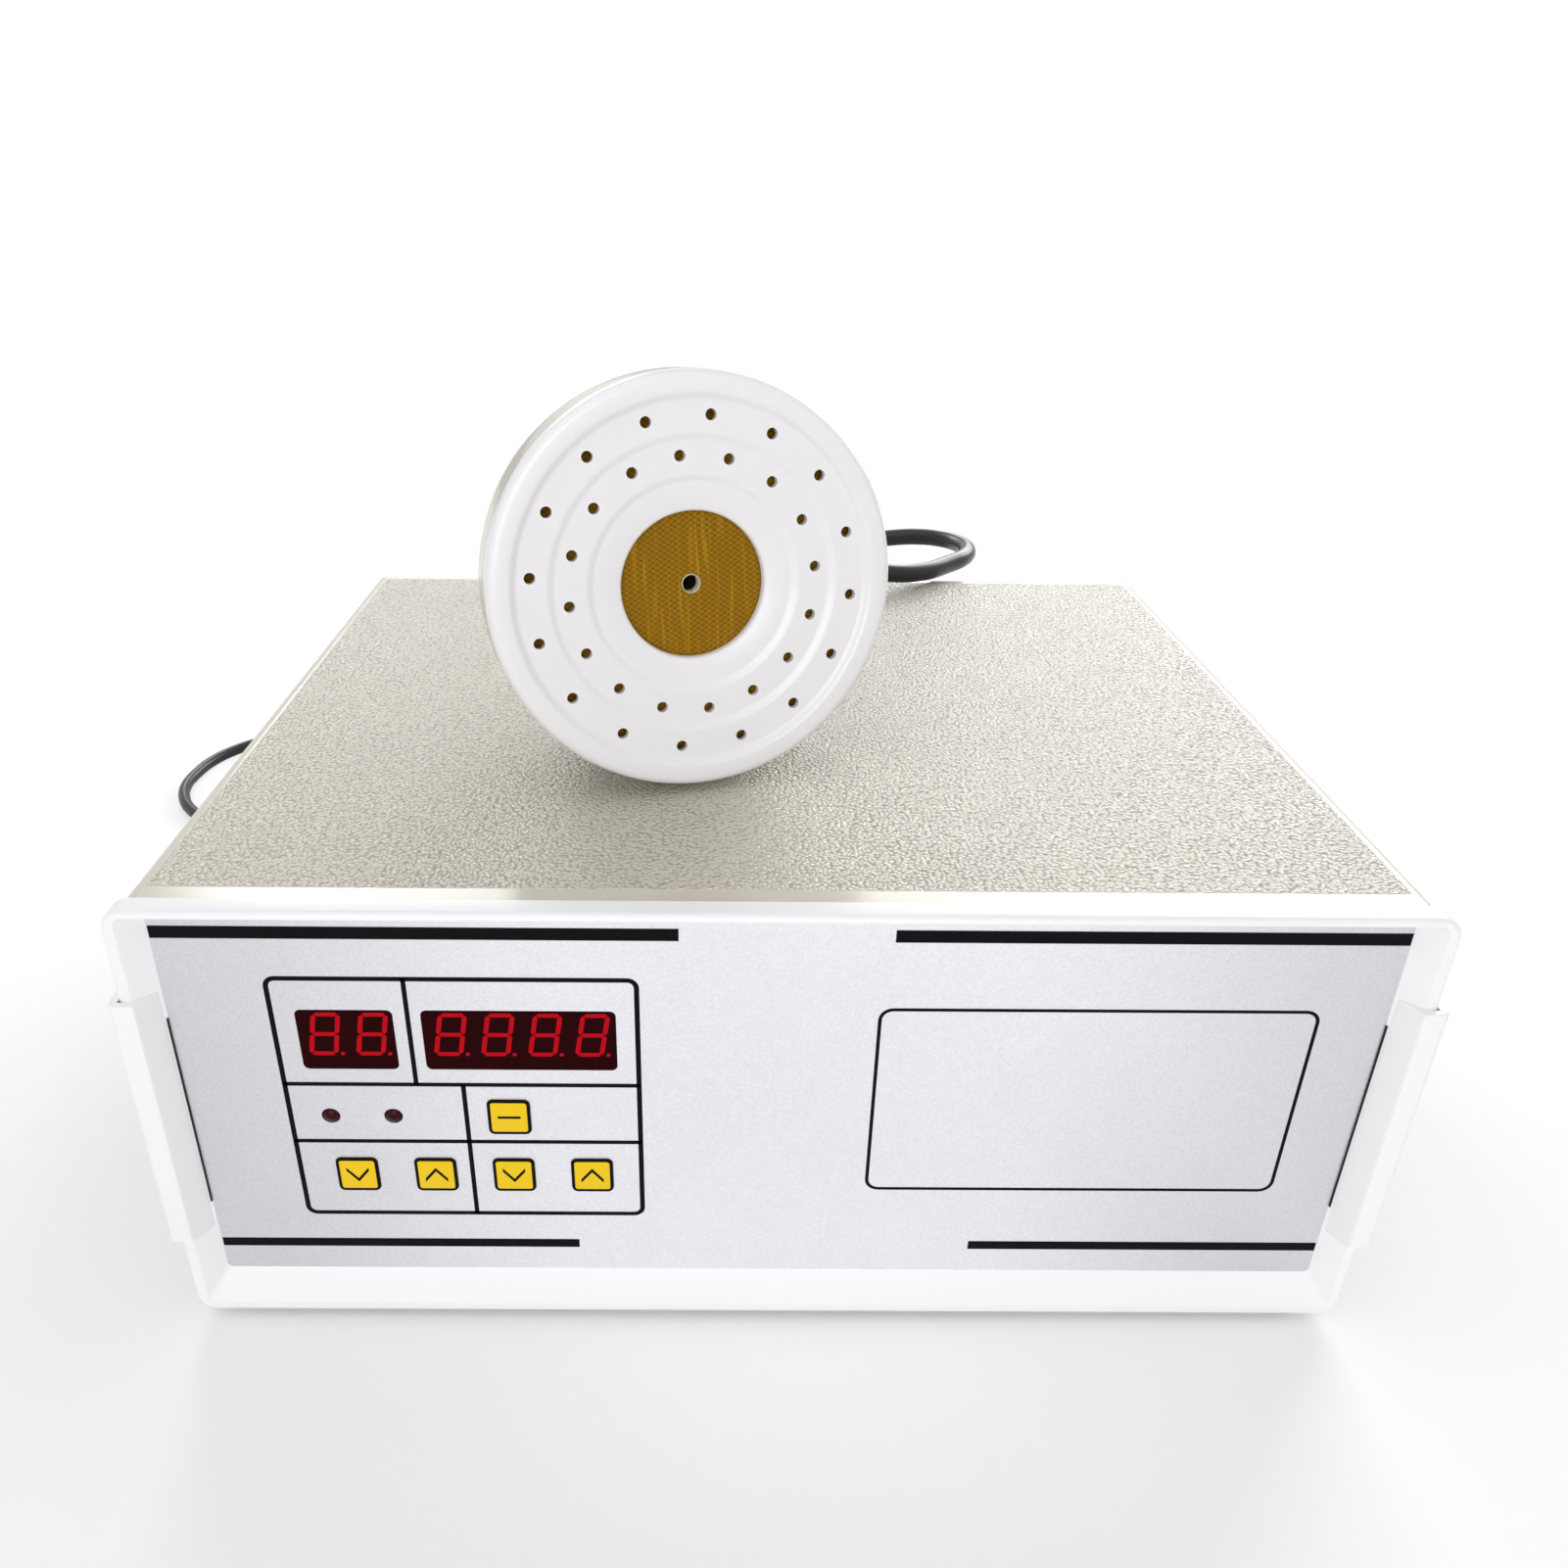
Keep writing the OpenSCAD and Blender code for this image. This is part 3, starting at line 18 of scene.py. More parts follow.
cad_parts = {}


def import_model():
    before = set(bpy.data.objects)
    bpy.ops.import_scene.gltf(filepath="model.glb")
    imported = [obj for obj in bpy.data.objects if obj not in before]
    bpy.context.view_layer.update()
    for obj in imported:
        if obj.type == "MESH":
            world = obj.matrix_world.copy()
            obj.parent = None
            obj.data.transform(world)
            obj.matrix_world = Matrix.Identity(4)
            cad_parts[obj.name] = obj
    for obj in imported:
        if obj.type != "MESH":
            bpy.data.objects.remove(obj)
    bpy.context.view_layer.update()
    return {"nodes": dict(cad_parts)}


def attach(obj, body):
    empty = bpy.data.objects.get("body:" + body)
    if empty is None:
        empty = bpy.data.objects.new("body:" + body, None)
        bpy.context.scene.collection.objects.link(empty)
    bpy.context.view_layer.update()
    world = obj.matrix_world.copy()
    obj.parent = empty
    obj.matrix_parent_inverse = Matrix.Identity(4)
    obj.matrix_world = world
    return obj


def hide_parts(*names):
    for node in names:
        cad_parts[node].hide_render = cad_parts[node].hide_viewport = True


LOG = logging.getLogger("cap_sealer")
MM = 0.001
BODY = "box"
PANEL_Y = -134.25 * MM
PANEL_LOW = 16.0 * MM
SMOOTH_BELOW = math.radians(38)
SHARP_ABOVE = math.radians(40)
MERGE_BELOW = 1e-6
QUARTER = math.pi / 2

Colour = tuple[float, float, float]
Point = tuple[float, float, float]
Flat = tuple[float, float]
Rounded = tuple[Flat, float, Flat]
Node, Socket, Piece = bpy.types.Node, bpy.types.NodeSocket, bpy.types.Object
Look = tuple[Socket, Socket, Socket]
Edge, Face, Vert = bmesh.types.BMEdge, bmesh.types.BMFace, bmesh.types.BMVert


def behind(x: float, depth: float, z: float) -> Vector:
    """Turns millimetres across, behind the panel's face and up into a place in the row frame."""
    return Vector((x * MM, PANEL_Y + depth * MM, z * MM))


def route(points: Sequence[Point]) -> list[Vector]:
    """Turns a row of such places into places in the row frame."""
    return [behind(*p) for p in points]


def box_outline(left: float, right: float, low: float, high: float) -> list[Flat]:
    """Returns the corners of an upright rectangle."""
    return [(left, low), (right, low), (right, high), (left, high)]


def grown(size: Flat, by: float) -> Flat:
    """Returns a width and a height that are wider by this on every side."""
    return (size[0] + 2 * by, size[1] + 2 * by)


def add_object(name: str, data: bpy.types.ID) -> Piece:
    """Adds an object to the scene.

    Args:
        name: Its name.
        data: Its mesh, curve, lamp or camera.

    Returns:
        The object.
    """
    made = bpy.data.objects.new(name, data)
    bpy.context.scene.collection.objects.link(made)
    return made


# Camera


@dataclass
class PhotoCamera:
    """The camera at the photograph's viewing angle."""

    place_mm: Point = (-17.31, -395.82, 315.34)
    turn_deg: Point = (63.12, -0.496, -0.087)
    lens: float = 28.11
    sensor: float = 36.0
    shift: Flat = (0.03956, -0.00606)
    near: float = 0.01

    def build(self) -> None:
        """Adds the camera and makes it the scene's own."""
        data = bpy.data.cameras.new("photo_camera")
        data.lens = self.lens
        data.sensor_width = self.sensor
        data.shift_x, data.shift_y = self.shift
        data.clip_start = self.near
        camera = add_object("photo_camera", data)
        camera.location = Vector(self.place_mm) * MM
        camera.rotation_euler = Euler([math.radians(a) for a in self.turn_deg], "XYZ")
        bpy.context.scene.camera = camera


# Shader node groups

MIX_INPUTS, MIX_RESULT = (0, 6, 7), 2
FLOAT, COLOUR, VECTOR = "NodeSocketFloat", "NodeSocketColor", "NodeSocketVector"


class Tree:
    """Adds and joins the nodes of one shader tree."""

    def __init__(self, tree: bpy.types.NodeTree) -> None:
        """Keeps the tree that the nodes go to."""
        self.tree = tree

    def add(self, kind: str, **inputs: object) -> Node:
        """Adds a node and fills its inputs.

        Args:
            kind: The node's type name.
            inputs: Values or sockets by input name, with _ for a space.

        Returns:
            The new node.
        """
        node = self.tree.nodes.new(kind)
        self.fill(node, {name.replace("_", " "): value for name, value in inputs.items()})
        return node

    def group(self, name: "GroupName", **inputs: object) -> bpy.types.bpy_prop_collection:
        """Places a shared group.

        Args:
            name: Which group.
            inputs: Values or sockets by input name.

        Returns:
            The outputs of its node.
        """
        node = self.tree.nodes.new("ShaderNodeGroup")
        node.node_tree = bpy.data.node_groups[name.value]
        self.fill(node, inputs)
        return node.outputs

    def axes(self, vector: Socket) -> bpy.types.bpy_prop_collection:
        """Parts a vector into X, Y and Z."""
        return self.add("ShaderNodeSeparateXYZ", Vector=vector).outputs

    def fill(self, node: Node, inputs: dict[str, object]) -> None:
        """Fills a node's inputs with values or sockets by name."""
        for name, value in inputs.items():
            self.feed(node.inputs[name], value)

    def feed(self, socket: Socket, value: object) -> None:
        """Joins a socket to an input, or sets the input to a value."""
        if isinstance(value, Socket):
            self.tree.links.new(value, socket)
        else:
            socket.default_value = value

    def math(self, operation: str, first: object, second: object, clamp: bool = False) -> Socket:
        """Adds a Math node.

        Args:
            operation: The node's operation.
            first: First value or socket.
            second: Second value or socket.
            clamp: Keeps the result between 0 and 1.

        Returns:
            The node's output.
        """
        node = self.tree.nodes.new("ShaderNodeMath")
        node.operation = operation
        node.use_clamp = clamp
        self.feed(node.inputs[0], first)
        self.feed(node.inputs[1], second)
        return node.outputs[0]

    def share(self, value: object, factor: object) -> Socket:
        """Multiplies a value."""
        return self.math("MULTIPLY", value, factor)

    def wave(self, value: Socket, length: float) -> Socket:
        """Turns a place into a wave whose halves have this length."""
        return self.math("SINE", self.share(value, math.pi / length), 0.0)

    def ramp(
        self, value: object, low: float, high: float, to_low: float = 0.0, to_high: float = 1.0,
    ) -> Socket:
        """Maps a range smoothly onto another.

        Args:
            value: The socket to map.
            low: Start of its range.
            high: End of its range.
            to_low: What the start becomes.
            to_high: What the end becomes.

        Returns:
            The mapped socket.
        """
        node = self.add(
            "ShaderNodeMapRange", Value=value, From_Min=low, From_Max=high, To_Min=to_low, To_Max=to_high,
        )
        node.interpolation_type = "SMOOTHSTEP"
        return node.outputs["Result"]

    def mix(self, factor: Socket, first: Socket, second: Colour) -> Socket:
        """Blends two colours.

        Args:
            factor: Share of the second colour.
            first: First colour's socket.
            second: Second colour.

        Returns:
            The blended colour.
        """
        node = self.tree.nodes.new("ShaderNodeMix")
        node.data_type = "RGBA"
        for socket, value in zip(MIX_INPUTS, (factor, first, (*second, 1.0))):
            self.feed(node.inputs[socket], value)
        return node.outputs[MIX_RESULT]

    def scaled(self, colour: object, factor: object) -> Socket:
        """Multiplies a colour.

        Args:
            colour: The colour's socket.
            factor: A value that changes over the surface.

        Returns:
            The multiplied colour.
        """
        node = self.tree.nodes.new("ShaderNodeVectorMath")
        node.operation = "SCALE"
        self.feed(node.inputs[0], colour)
        self.feed(node.inputs["Scale"], factor)
        return node.outputs[0]

    def stretched(self, vector: Socket, scale: Point) -> Socket:
        """Reads a place with another scale along each axis."""
        return self.add("ShaderNodeMapping", Vector=vector, Scale=scale).outputs[0]

    def noise(
        self, vector: object, scale: object = 1.0, detail: float = 2.0, roughness: float = 0.5,
    ) -> Socket:
        """Adds a noise texture with this many cells in a metre and layers of finer noise."""
        node = self.add(
            "ShaderNodeTexNoise", Vector=vector, Scale=scale, Detail=detail, Roughness=roughness,
        )
        return node.outputs[0]


class GroupName(Enum):
    """The shader effects that several finishes share."""

    MOULDED = "moulded_surface"
    PEBBLE = "pebble_grain"
    DUST = "settled_dust"
    SPARKLE = "metal_flake"


def new_group(name: GroupName, inputs: dict[str, str], outputs: dict[str, str]) -> tuple[Tree, dict, dict]:
    """Starts a shader node group.

    Args:
        name: Which group.
        inputs: Socket types by input name.
        outputs: Socket types by output name.

    Returns:
        The group's tree, its input sockets and its output sockets by name.
    """
    group = bpy.data.node_groups.new(name.value, "ShaderNodeTree")
    for socket, kind in inputs.items():
        group.interface.new_socket(socket, in_out="INPUT", socket_type=kind)
    for socket, kind in outputs.items():
        group.interface.new_socket(socket, in_out="OUTPUT", socket_type=kind)
    start = group.nodes.new("NodeGroupInput")
    end = group.nodes.new("NodeGroupOutput")
    return Tree(group), {s.name: s for s in start.outputs}, {s.name: s for s in end.inputs}


def build_groups() -> None:
    """Builds the shared effects once."""
    tree, given, out = new_group(
        GroupName.MOULDED,
        {
            "Vector": VECTOR, "Colour": COLOUR, "Drift": FLOAT, "Roughness": FLOAT, "Spread": FLOAT,
            "Grain": FLOAT,
        },
        {"Colour": COLOUR, "Roughness": FLOAT, "Height": FLOAT},
    )
    wide = tree.noise(given["Vector"], scale=11.0, detail=4.0)
    middle = tree.noise(given["Vector"], scale=65.0, detail=3.0)
    blotch = tree.math("ADD", tree.share(wide, 0.7), tree.share(middle, 0.3))
    swing = tree.share(tree.math("SUBTRACT", blotch, 0.5), 2.0)
    tone = tree.math("ADD", 1.0, tree.share(swing, given["Drift"]))
    tree.feed(out["Colour"], tree.scaled(given["Colour"], tone))
    rub = tree.share(tree.math("SUBTRACT", middle, 0.5), given["Spread"])
    tree.feed(out["Roughness"], tree.math("ADD", given["Roughness"], rub, clamp=True))
    tree.feed(out["Height"], tree.noise(given["Vector"], given["Grain"], detail=3.0, roughness=0.6))

    placed = {"Vector": VECTOR, "Scale": FLOAT}
    tree, given, out = new_group(GroupName.PEBBLE, placed, {"Height": FLOAT, "Valley": FLOAT})
    reach, steepness = 0.5 * MM, 1.9
    warp = tree.add("ShaderNodeTexNoise", Vector=given["Vector"], Scale=420.0, Detail=1.0)
    bent = tree.tree.nodes.new("ShaderNodeVectorMath")
    bent.operation = "MULTIPLY_ADD"
    tree.feed(bent.inputs[0], warp.outputs["Color"])
    bent.inputs[1].default_value = (reach, reach, reach)
    tree.feed(bent.inputs[2], given["Vector"])
    cells = tree.add("ShaderNodeTexVoronoi", Vector=bent.outputs[0], Scale=given["Scale"])
    fall = tree.share(tree.math("POWER", cells.outputs["Distance"], 2.0), steepness)
    tree.feed(out["Height"], tree.math("SUBTRACT", 1.0, fall))
    # Painted shade: this mask is 1 down in the valleys between pebbles, where the colour is darkened.
    tree.feed(out["Valley"], tree.ramp(cells.outputs["Distance"], 0.3, 0.85))

    tree, given, out = new_group(GroupName.DUST, {"Vector": VECTOR, "Amount": FLOAT}, {"Mask": FLOAT})
    facing = tree.axes(tree.add("ShaderNodeNewGeometry").outputs["Normal"])
    up = tree.ramp(facing["Z"], 0.1, 0.95)
    cloud = tree.noise(given["Vector"], scale=90.0, detail=5.0, roughness=0.65)
    patch = tree.share(up, tree.ramp(cloud, 0.35, 0.75))
    tree.feed(out["Mask"], tree.math("MULTIPLY", patch, given["Amount"], clamp=True))

    tree, given, out = new_group(GroupName.SPARKLE, placed, {"Flake": FLOAT, "Height": FLOAT})
    flakes = tree.add("ShaderNodeTexVoronoi", Vector=given["Vector"], Scale=given["Scale"])
    shine = tree.add("ShaderNodeSeparateColor", Color=flakes.outputs["Color"])
    tree.feed(out["Flake"], shine.outputs[0])
    tree.feed(out["Height"], tree.noise(given["Vector"], given["Scale"], detail=1.0))


# Finishes

DUST_COLOUR = (0.42, 0.40, 0.37)


@dataclass(frozen=True)
class Finish:
    """A moulded, coated or cast surface: a slight drift of colour and a fine grain."""

    name: str
    colour: Colour
    roughness: float
    slot: str
    metallic: float = 0.0
    coat: float = 0.0
    drift: float = 0.05
    spread: float = 0.12
    grain: float = 1400.0
    depth: float = 0.02
    dust: float = 0.0
    specular: float = 0.5

    def material(self) -> bpy.types.Material:
        """Makes the material the first time and finds it again later.

        Returns:
            The finish's material.
        """
        found = bpy.data.materials.get(self.name)
        if found:
            return found
        made = bpy.data.materials.new(self.name)
        made.use_nodes = True
        made.diffuse_color = (*self.colour, 1.0)
        tree = Tree(made.node_tree)
        shader = made.node_tree.nodes["Principled BSDF"]
        fixed = {
            "Base Color": (*self.colour, 1.0), "Roughness": self.roughness, "Metallic": self.metallic,
            "Coat Weight": self.coat, "Specular IOR Level": self.specular,
        }
        for name, value in fixed.items():
            shader.inputs[name].default_value = value
        place = tree.add("ShaderNodeTexCoord").outputs["Object"]
        surface = tree.group(
            GroupName.MOULDED, Vector=place, Colour=(*self.colour, 1.0), Drift=self.drift,
            Roughness=self.roughness, Spread=self.spread, Grain=self.grain,
        )
        colour, roughness, height = self.look(tree, place, *surface)
        bump = tree.add("ShaderNodeBump", Height=height, Distance=self.depth * MM)
        tree.fill(shader, {"Base Color": colour, "Roughness": roughness, "Normal": bump.outputs[0]})
        return made

    def look(self, tree: Tree, place: Socket, colour: Socket, roughness: Socket, grain: Socket) -> Look:
        """Adds what this finish has beyond a plain moulded surface.

        Args:
            tree: The material's tree.
            place: Object coordinates.
            colour: Colour of the moulded surface.
            roughness: Its roughness.
            grain: Its height.

        Returns:
            The colour, the roughness and the height, where 1 stands for the finish's depth.
        """
        if self.dust:
            film = tree.group(GroupName.DUST, Vector=place, Amount=self.dust)
            colour = tree.mix(film["Mask"], colour, DUST_COLOUR)
        return colour, roughness, grain


@dataclass(frozen=True)
class PebbledCover(Finish):
    """Ivory case moulding: pebble grain on the faces, with painted shade in the valleys between pebbles, and
    a smooth border along the edges.
    """

    pebble: float = 860.0
    # How much the valleys between pebbles are darkened: painted shade.
    valley: float = 0.25
    half_width: float = 170.0
    top: float = 144.7
    front: float = -132.25
    rear: float = 134.75
    side_border: float = 5.0
    front_border: float = 6.5
    rear_border: float = 2.5
    fade: float = 0.8

    def look(self, tree: Tree, place: Socket, colour: Socket, roughness: Socket, grain: Socket) -> Look:
        """Adds the pebbles and the painted shade in their valleys, both kept off the border. Args and Returns
        as in Finish.
        """
        pebble = tree.group(GroupName.PEBBLE, Vector=place, Scale=self.pebble)
        x, y, z = tree.axes(place)
        across = tree.math("ABSOLUTE", x, 0.0)
        fade = self.fade * MM
        edge = (self.half_width - self.side_border) * MM
        ledge = (self.top - self.side_border) * MM
        fore = (self.front + self.front_border) * MM
        aft = (self.rear - self.rear_border) * MM
        inside = tree.math("MAXIMUM", tree.ramp(across, edge, edge - fade), tree.ramp(z, ledge, ledge - fade))
        ends = tree.share(tree.ramp(y, fore, fore + fade), tree.ramp(y, aft, aft - fade))
        mask = tree.share(inside, ends)
        # Painted shade: darkens the colour in the valleys between pebbles.
        shade = tree.share(tree.share(pebble["Valley"], mask), self.valley)
        colour = tree.scaled(colour, tree.math("SUBTRACT", 1.0, shade))
        return colour, roughness, tree.share(pebble["Height"], mask)


@dataclass(frozen=True)
class SilverFilm(Finish):
    """Silver metallic panel film with a fine flake, and a painted highlight that makes it lighter in the
    middle than at its ends.
    """

    flake: float = 2600.0
    flake_tone: Flat = (0.95, 1.05)
    middle: float = 0.05
    ends: float = 0.17
    # Colour factors in the middle and at the ends: a painted highlight across the middle.
    tones: Flat = (1.11, 0.84)

    def look(self, tree: Tree, place: Socket, colour: Socket, roughness: Socket, grain: Socket) -> Look:
        """Adds the flakes and the painted highlight across the middle. Args and Returns as in Finish."""
        sparkle = tree.group(GroupName.SPARKLE, Vector=place, Scale=self.flake)
        across = tree.math("ABSOLUTE", tree.axes(place)["X"], 0.0)
        tone = tree.ramp(sparkle["Flake"], 0.0, 1.0, *self.flake_tone)
        # Painted highlight: lighter across the middle, darker towards the ends.
        tone = tree.share(tone, tree.ramp(across, self.middle, self.ends, *self.tones))
        return tree.scaled(colour, tone), roughness, sparkle["Height"]


@dataclass(frozen=True)
class WovenBoard(Finish):
    """Resin board on woven cloth, read in the head's own plane."""

    pitch: Flat = (1.15, 0.8)
    thread: Colour = (0.40, 0.21, 0.008)
    slub: Point = (700.0, 40.0, 1.0)
    slub_range: Flat = (0.5, 0.75)
    shares: Flat = (0.7, 0.6)

    def look(self, tree: Tree, place: Socket, colour: Socket, roughness: Socket, grain: Socket) -> Look:
        """Adds the weave and its thicker threads. Args and Returns as in Finish."""
        turned = tree.add("ShaderNodeMapping", Vector=place)
        turned.vector_type = "TEXTURE"
        turned.inputs["Location"].default_value = LAID_DOWN.to_translation()
        turned.inputs["Rotation"].default_value = LAID_DOWN.to_euler("XYZ")
        x, y, _ = tree.axes(turned.outputs[0])
        warp, weft = (tree.wave(axis, pitch * MM) for axis, pitch in zip((x, y), self.pitch))
        lift = tree.math("ADD", 0.5, tree.share(tree.share(warp, weft), 0.5))
        slub = tree.ramp(tree.noise(tree.stretched(turned.outputs[0], self.slub)), *self.slub_range)
        woven, thick = (tree.share(part, share) for part, share in zip((lift, slub), self.shares))
        tone = tree.math("ADD", woven, thick, clamp=True)
        return tree.mix(tone, colour, self.thread), roughness, lift


@dataclass(frozen=True)
class BrushedMetal(Finish):
    """Drawn or brushed metal with fine lines along one axis."""

    lines: Point = (60.0, 60.0, 2600.0)
    reach: Flat = (0.2, 0.8)
    tones: Flat = (0.88, 1.1)
    scuff: float = 0.18

    def look(self, tree: Tree, place: Socket, colour: Socket, roughness: Socket, grain: Socket) -> Look:
        """Adds the brushed lines. Args and Returns as in Finish."""
        scratch = tree.noise(tree.stretched(place, self.lines), detail=3.0)
        colour = tree.scaled(colour, tree.ramp(scratch, *self.reach, *self.tones))
        rough = tree.ramp(scratch, *self.reach, self.roughness, self.roughness + self.scuff)
        return colour, rough, scratch


HEAD_PLACE = behind(-22.8, 70.5, 206.052)
HEAD_TAPER = math.radians(7.7)
HEAD_YAW = math.radians(16.1)
LAID_DOWN = (
    Matrix.Translation(HEAD_PLACE)
    @ Matrix.Rotation(HEAD_YAW, 4, "Z")
    @ Matrix.Rotation(-QUARTER - HEAD_TAPER, 4, "X")
)

CASE = PebbledCover("ivory_case", (0.60, 0.565, 0.48), 0.2, "case_ivory", drift=0.04, depth=0.3, specular=0.8)
BEZEL = Finish(
    "white_bezel", (0.87, 0.87, 0.885), 0.32, "bezel_white", coat=0.15, drift=0.012, grain=2200.0,
    depth=0.005,
)
FILM = SilverFilm(
    "silver_film", (0.76, 0.76, 0.795), 0.4, "panel_silver", metallic=0.6, drift=0.02, depth=0.002,
)
# Painted shadow: a near-black finish for the strips laid where the grips shade the panel.
PAINTED_GAP_SHADOW = Finish("painted_gap_shadow", (0.02, 0.02, 0.022), 0.6, "bezel_white", depth=0.003, specular=0.1)
INK = Finish("black_ink", (0.005, 0.005, 0.006), 0.5, "panel_silver", drift=0.1, depth=0.003, specular=0.04)
WINDOW = Finish(
    "red_window", (0.020, 0.0016, 0.0025), 0.2, "window_red", drift=0.08, depth=0.002, specular=0.02,
)
SEGMENT = Finish(
    "dim_segment", (0.46, 0.003, 0.010), 0.35, "window_red", drift=0.1, depth=0.002, specular=0.03,
)
LENS = Finish("lamp_lens", (0.035, 0.002, 0.004), 0.2, "lamp_red", drift=0.08, depth=0.002, specular=0.1)
KEY = Finish("yellow_key", (0.84, 0.56, 0.006), 0.45, "key_yellow", drift=0.03, depth=0.006, specular=0.2)
FACE = Finish(
    "white_face", (0.82, 0.81, 0.83), 0.3, "head_white", coat=0.2, drift=0.012, grain=1800.0, depth=0.003,
)
# Painted shade: the head's ivory is coloured darker than the case's to stand for the shade on the cup's side;
# the handles share it.
HEAD_PAINTED_SHADE = Finish(
    "ivory_head_painted_shade", (0.46, 0.425, 0.33), 0.26, "head_ivory", coat=0.3, drift=0.04, grain=1500.0, depth=0.006,
)
BOARD = WovenBoard(
    "woven_board", (0.17, 0.078, 0.002), 0.55, "phenolic_brown", drift=0.2, depth=0.04, specular=0.08,
)
BLACK = Finish(
    "black_moulding", (0.022, 0.022, 0.023), 0.42, "black_plastic", drift=0.12, grain=1700.0,
    depth=0.02, dust=0.12,
)
SHEATH = Finish(
    "cord_sheath", (0.014, 0.014, 0.015), 0.3, "cord_black", drift=0.15, grain=700.0, depth=0.012,
    dust=0.03, specular=0.3,
)
RUBBER = Finish("foot_rubber_black", (0.03, 0.03, 0.03), 0.7, "foot_rubber", drift=0.15, depth=0.04, dust=0.2)
COAT = Finish("grey_powder_coat", (0.60, 0.60, 0.58), 0.5, "rear_grey", drift=0.03, grain=1100.0, depth=0.03)
ROCKER = Finish("red_rocker", (0.48, 0.018, 0.014), 0.25, "rocker_red", coat=0.4, drift=0.05, depth=0.004)
BRASS = BrushedMetal("turned_brass", (0.62, 0.42, 0.16), 0.3, "brass", metallic=1.0)
CHROME = BrushedMetal("bright_wire", (0.78, 0.78, 0.78), 0.14, "wire_chrome", metallic=1.0, depth=0.004)
ZINC = BrushedMetal("zinc_screw", (0.55, 0.55, 0.56), 0.3, "screw_steel", metallic=1.0, depth=0.006)
SINK = BrushedMetal(
    "extruded_sink", (0.66, 0.67, 0.68), 0.36, "sink_aluminium", metallic=1.0, lines=(2400.0, 40.0, 2400.0),
)
IRON = BrushedMetal(
    "core_plates", (0.16, 0.16, 0.17), 0.5, "core_iron", metallic=0.7, lines=(30.0, 2000.0, 30.0),
    depth=0.05,
)
COPPER = BrushedMetal(
    "enamelled_wire", (0.50, 0.20, 0.06), 0.32, "winding_copper", metallic=0.8, lines=(40.0, 40.0, 1600.0),
)
SLEEVE = Finish("capacitor_wrap", (0.02, 0.03, 0.12), 0.3, "capacitor_sleeve", coat=0.3, depth=0.004)
FILM_CAP = Finish("film_capacitor", (0.36, 0.36, 0.34), 0.5, "film_grey", depth=0.02)
FERRITE = Finish("sintered_ferrite", (0.05, 0.05, 0.055), 0.55, "ferrite_grey", grain=1200.0, depth=0.05)
LACQUER = Finish("green_lacquer", (0.012, 0.11, 0.035), 0.35, "board_green", coat=0.3, drift=0.2, depth=0.01)
DISPLAY = Finish("display_body", (0.02, 0.02, 0.02), 0.4, "display_black", depth=0.01)
EYELET = BrushedMetal("pale_eyelet", (0.80, 0.76, 0.60), 0.3, "brass", metallic=0.3, depth=0.004)
TIE = Finish("tie_strap", (0.03, 0.03, 0.032), 0.65, "cord_black", drift=0.2, grain=900.0, depth=0.06)


# Mesh making


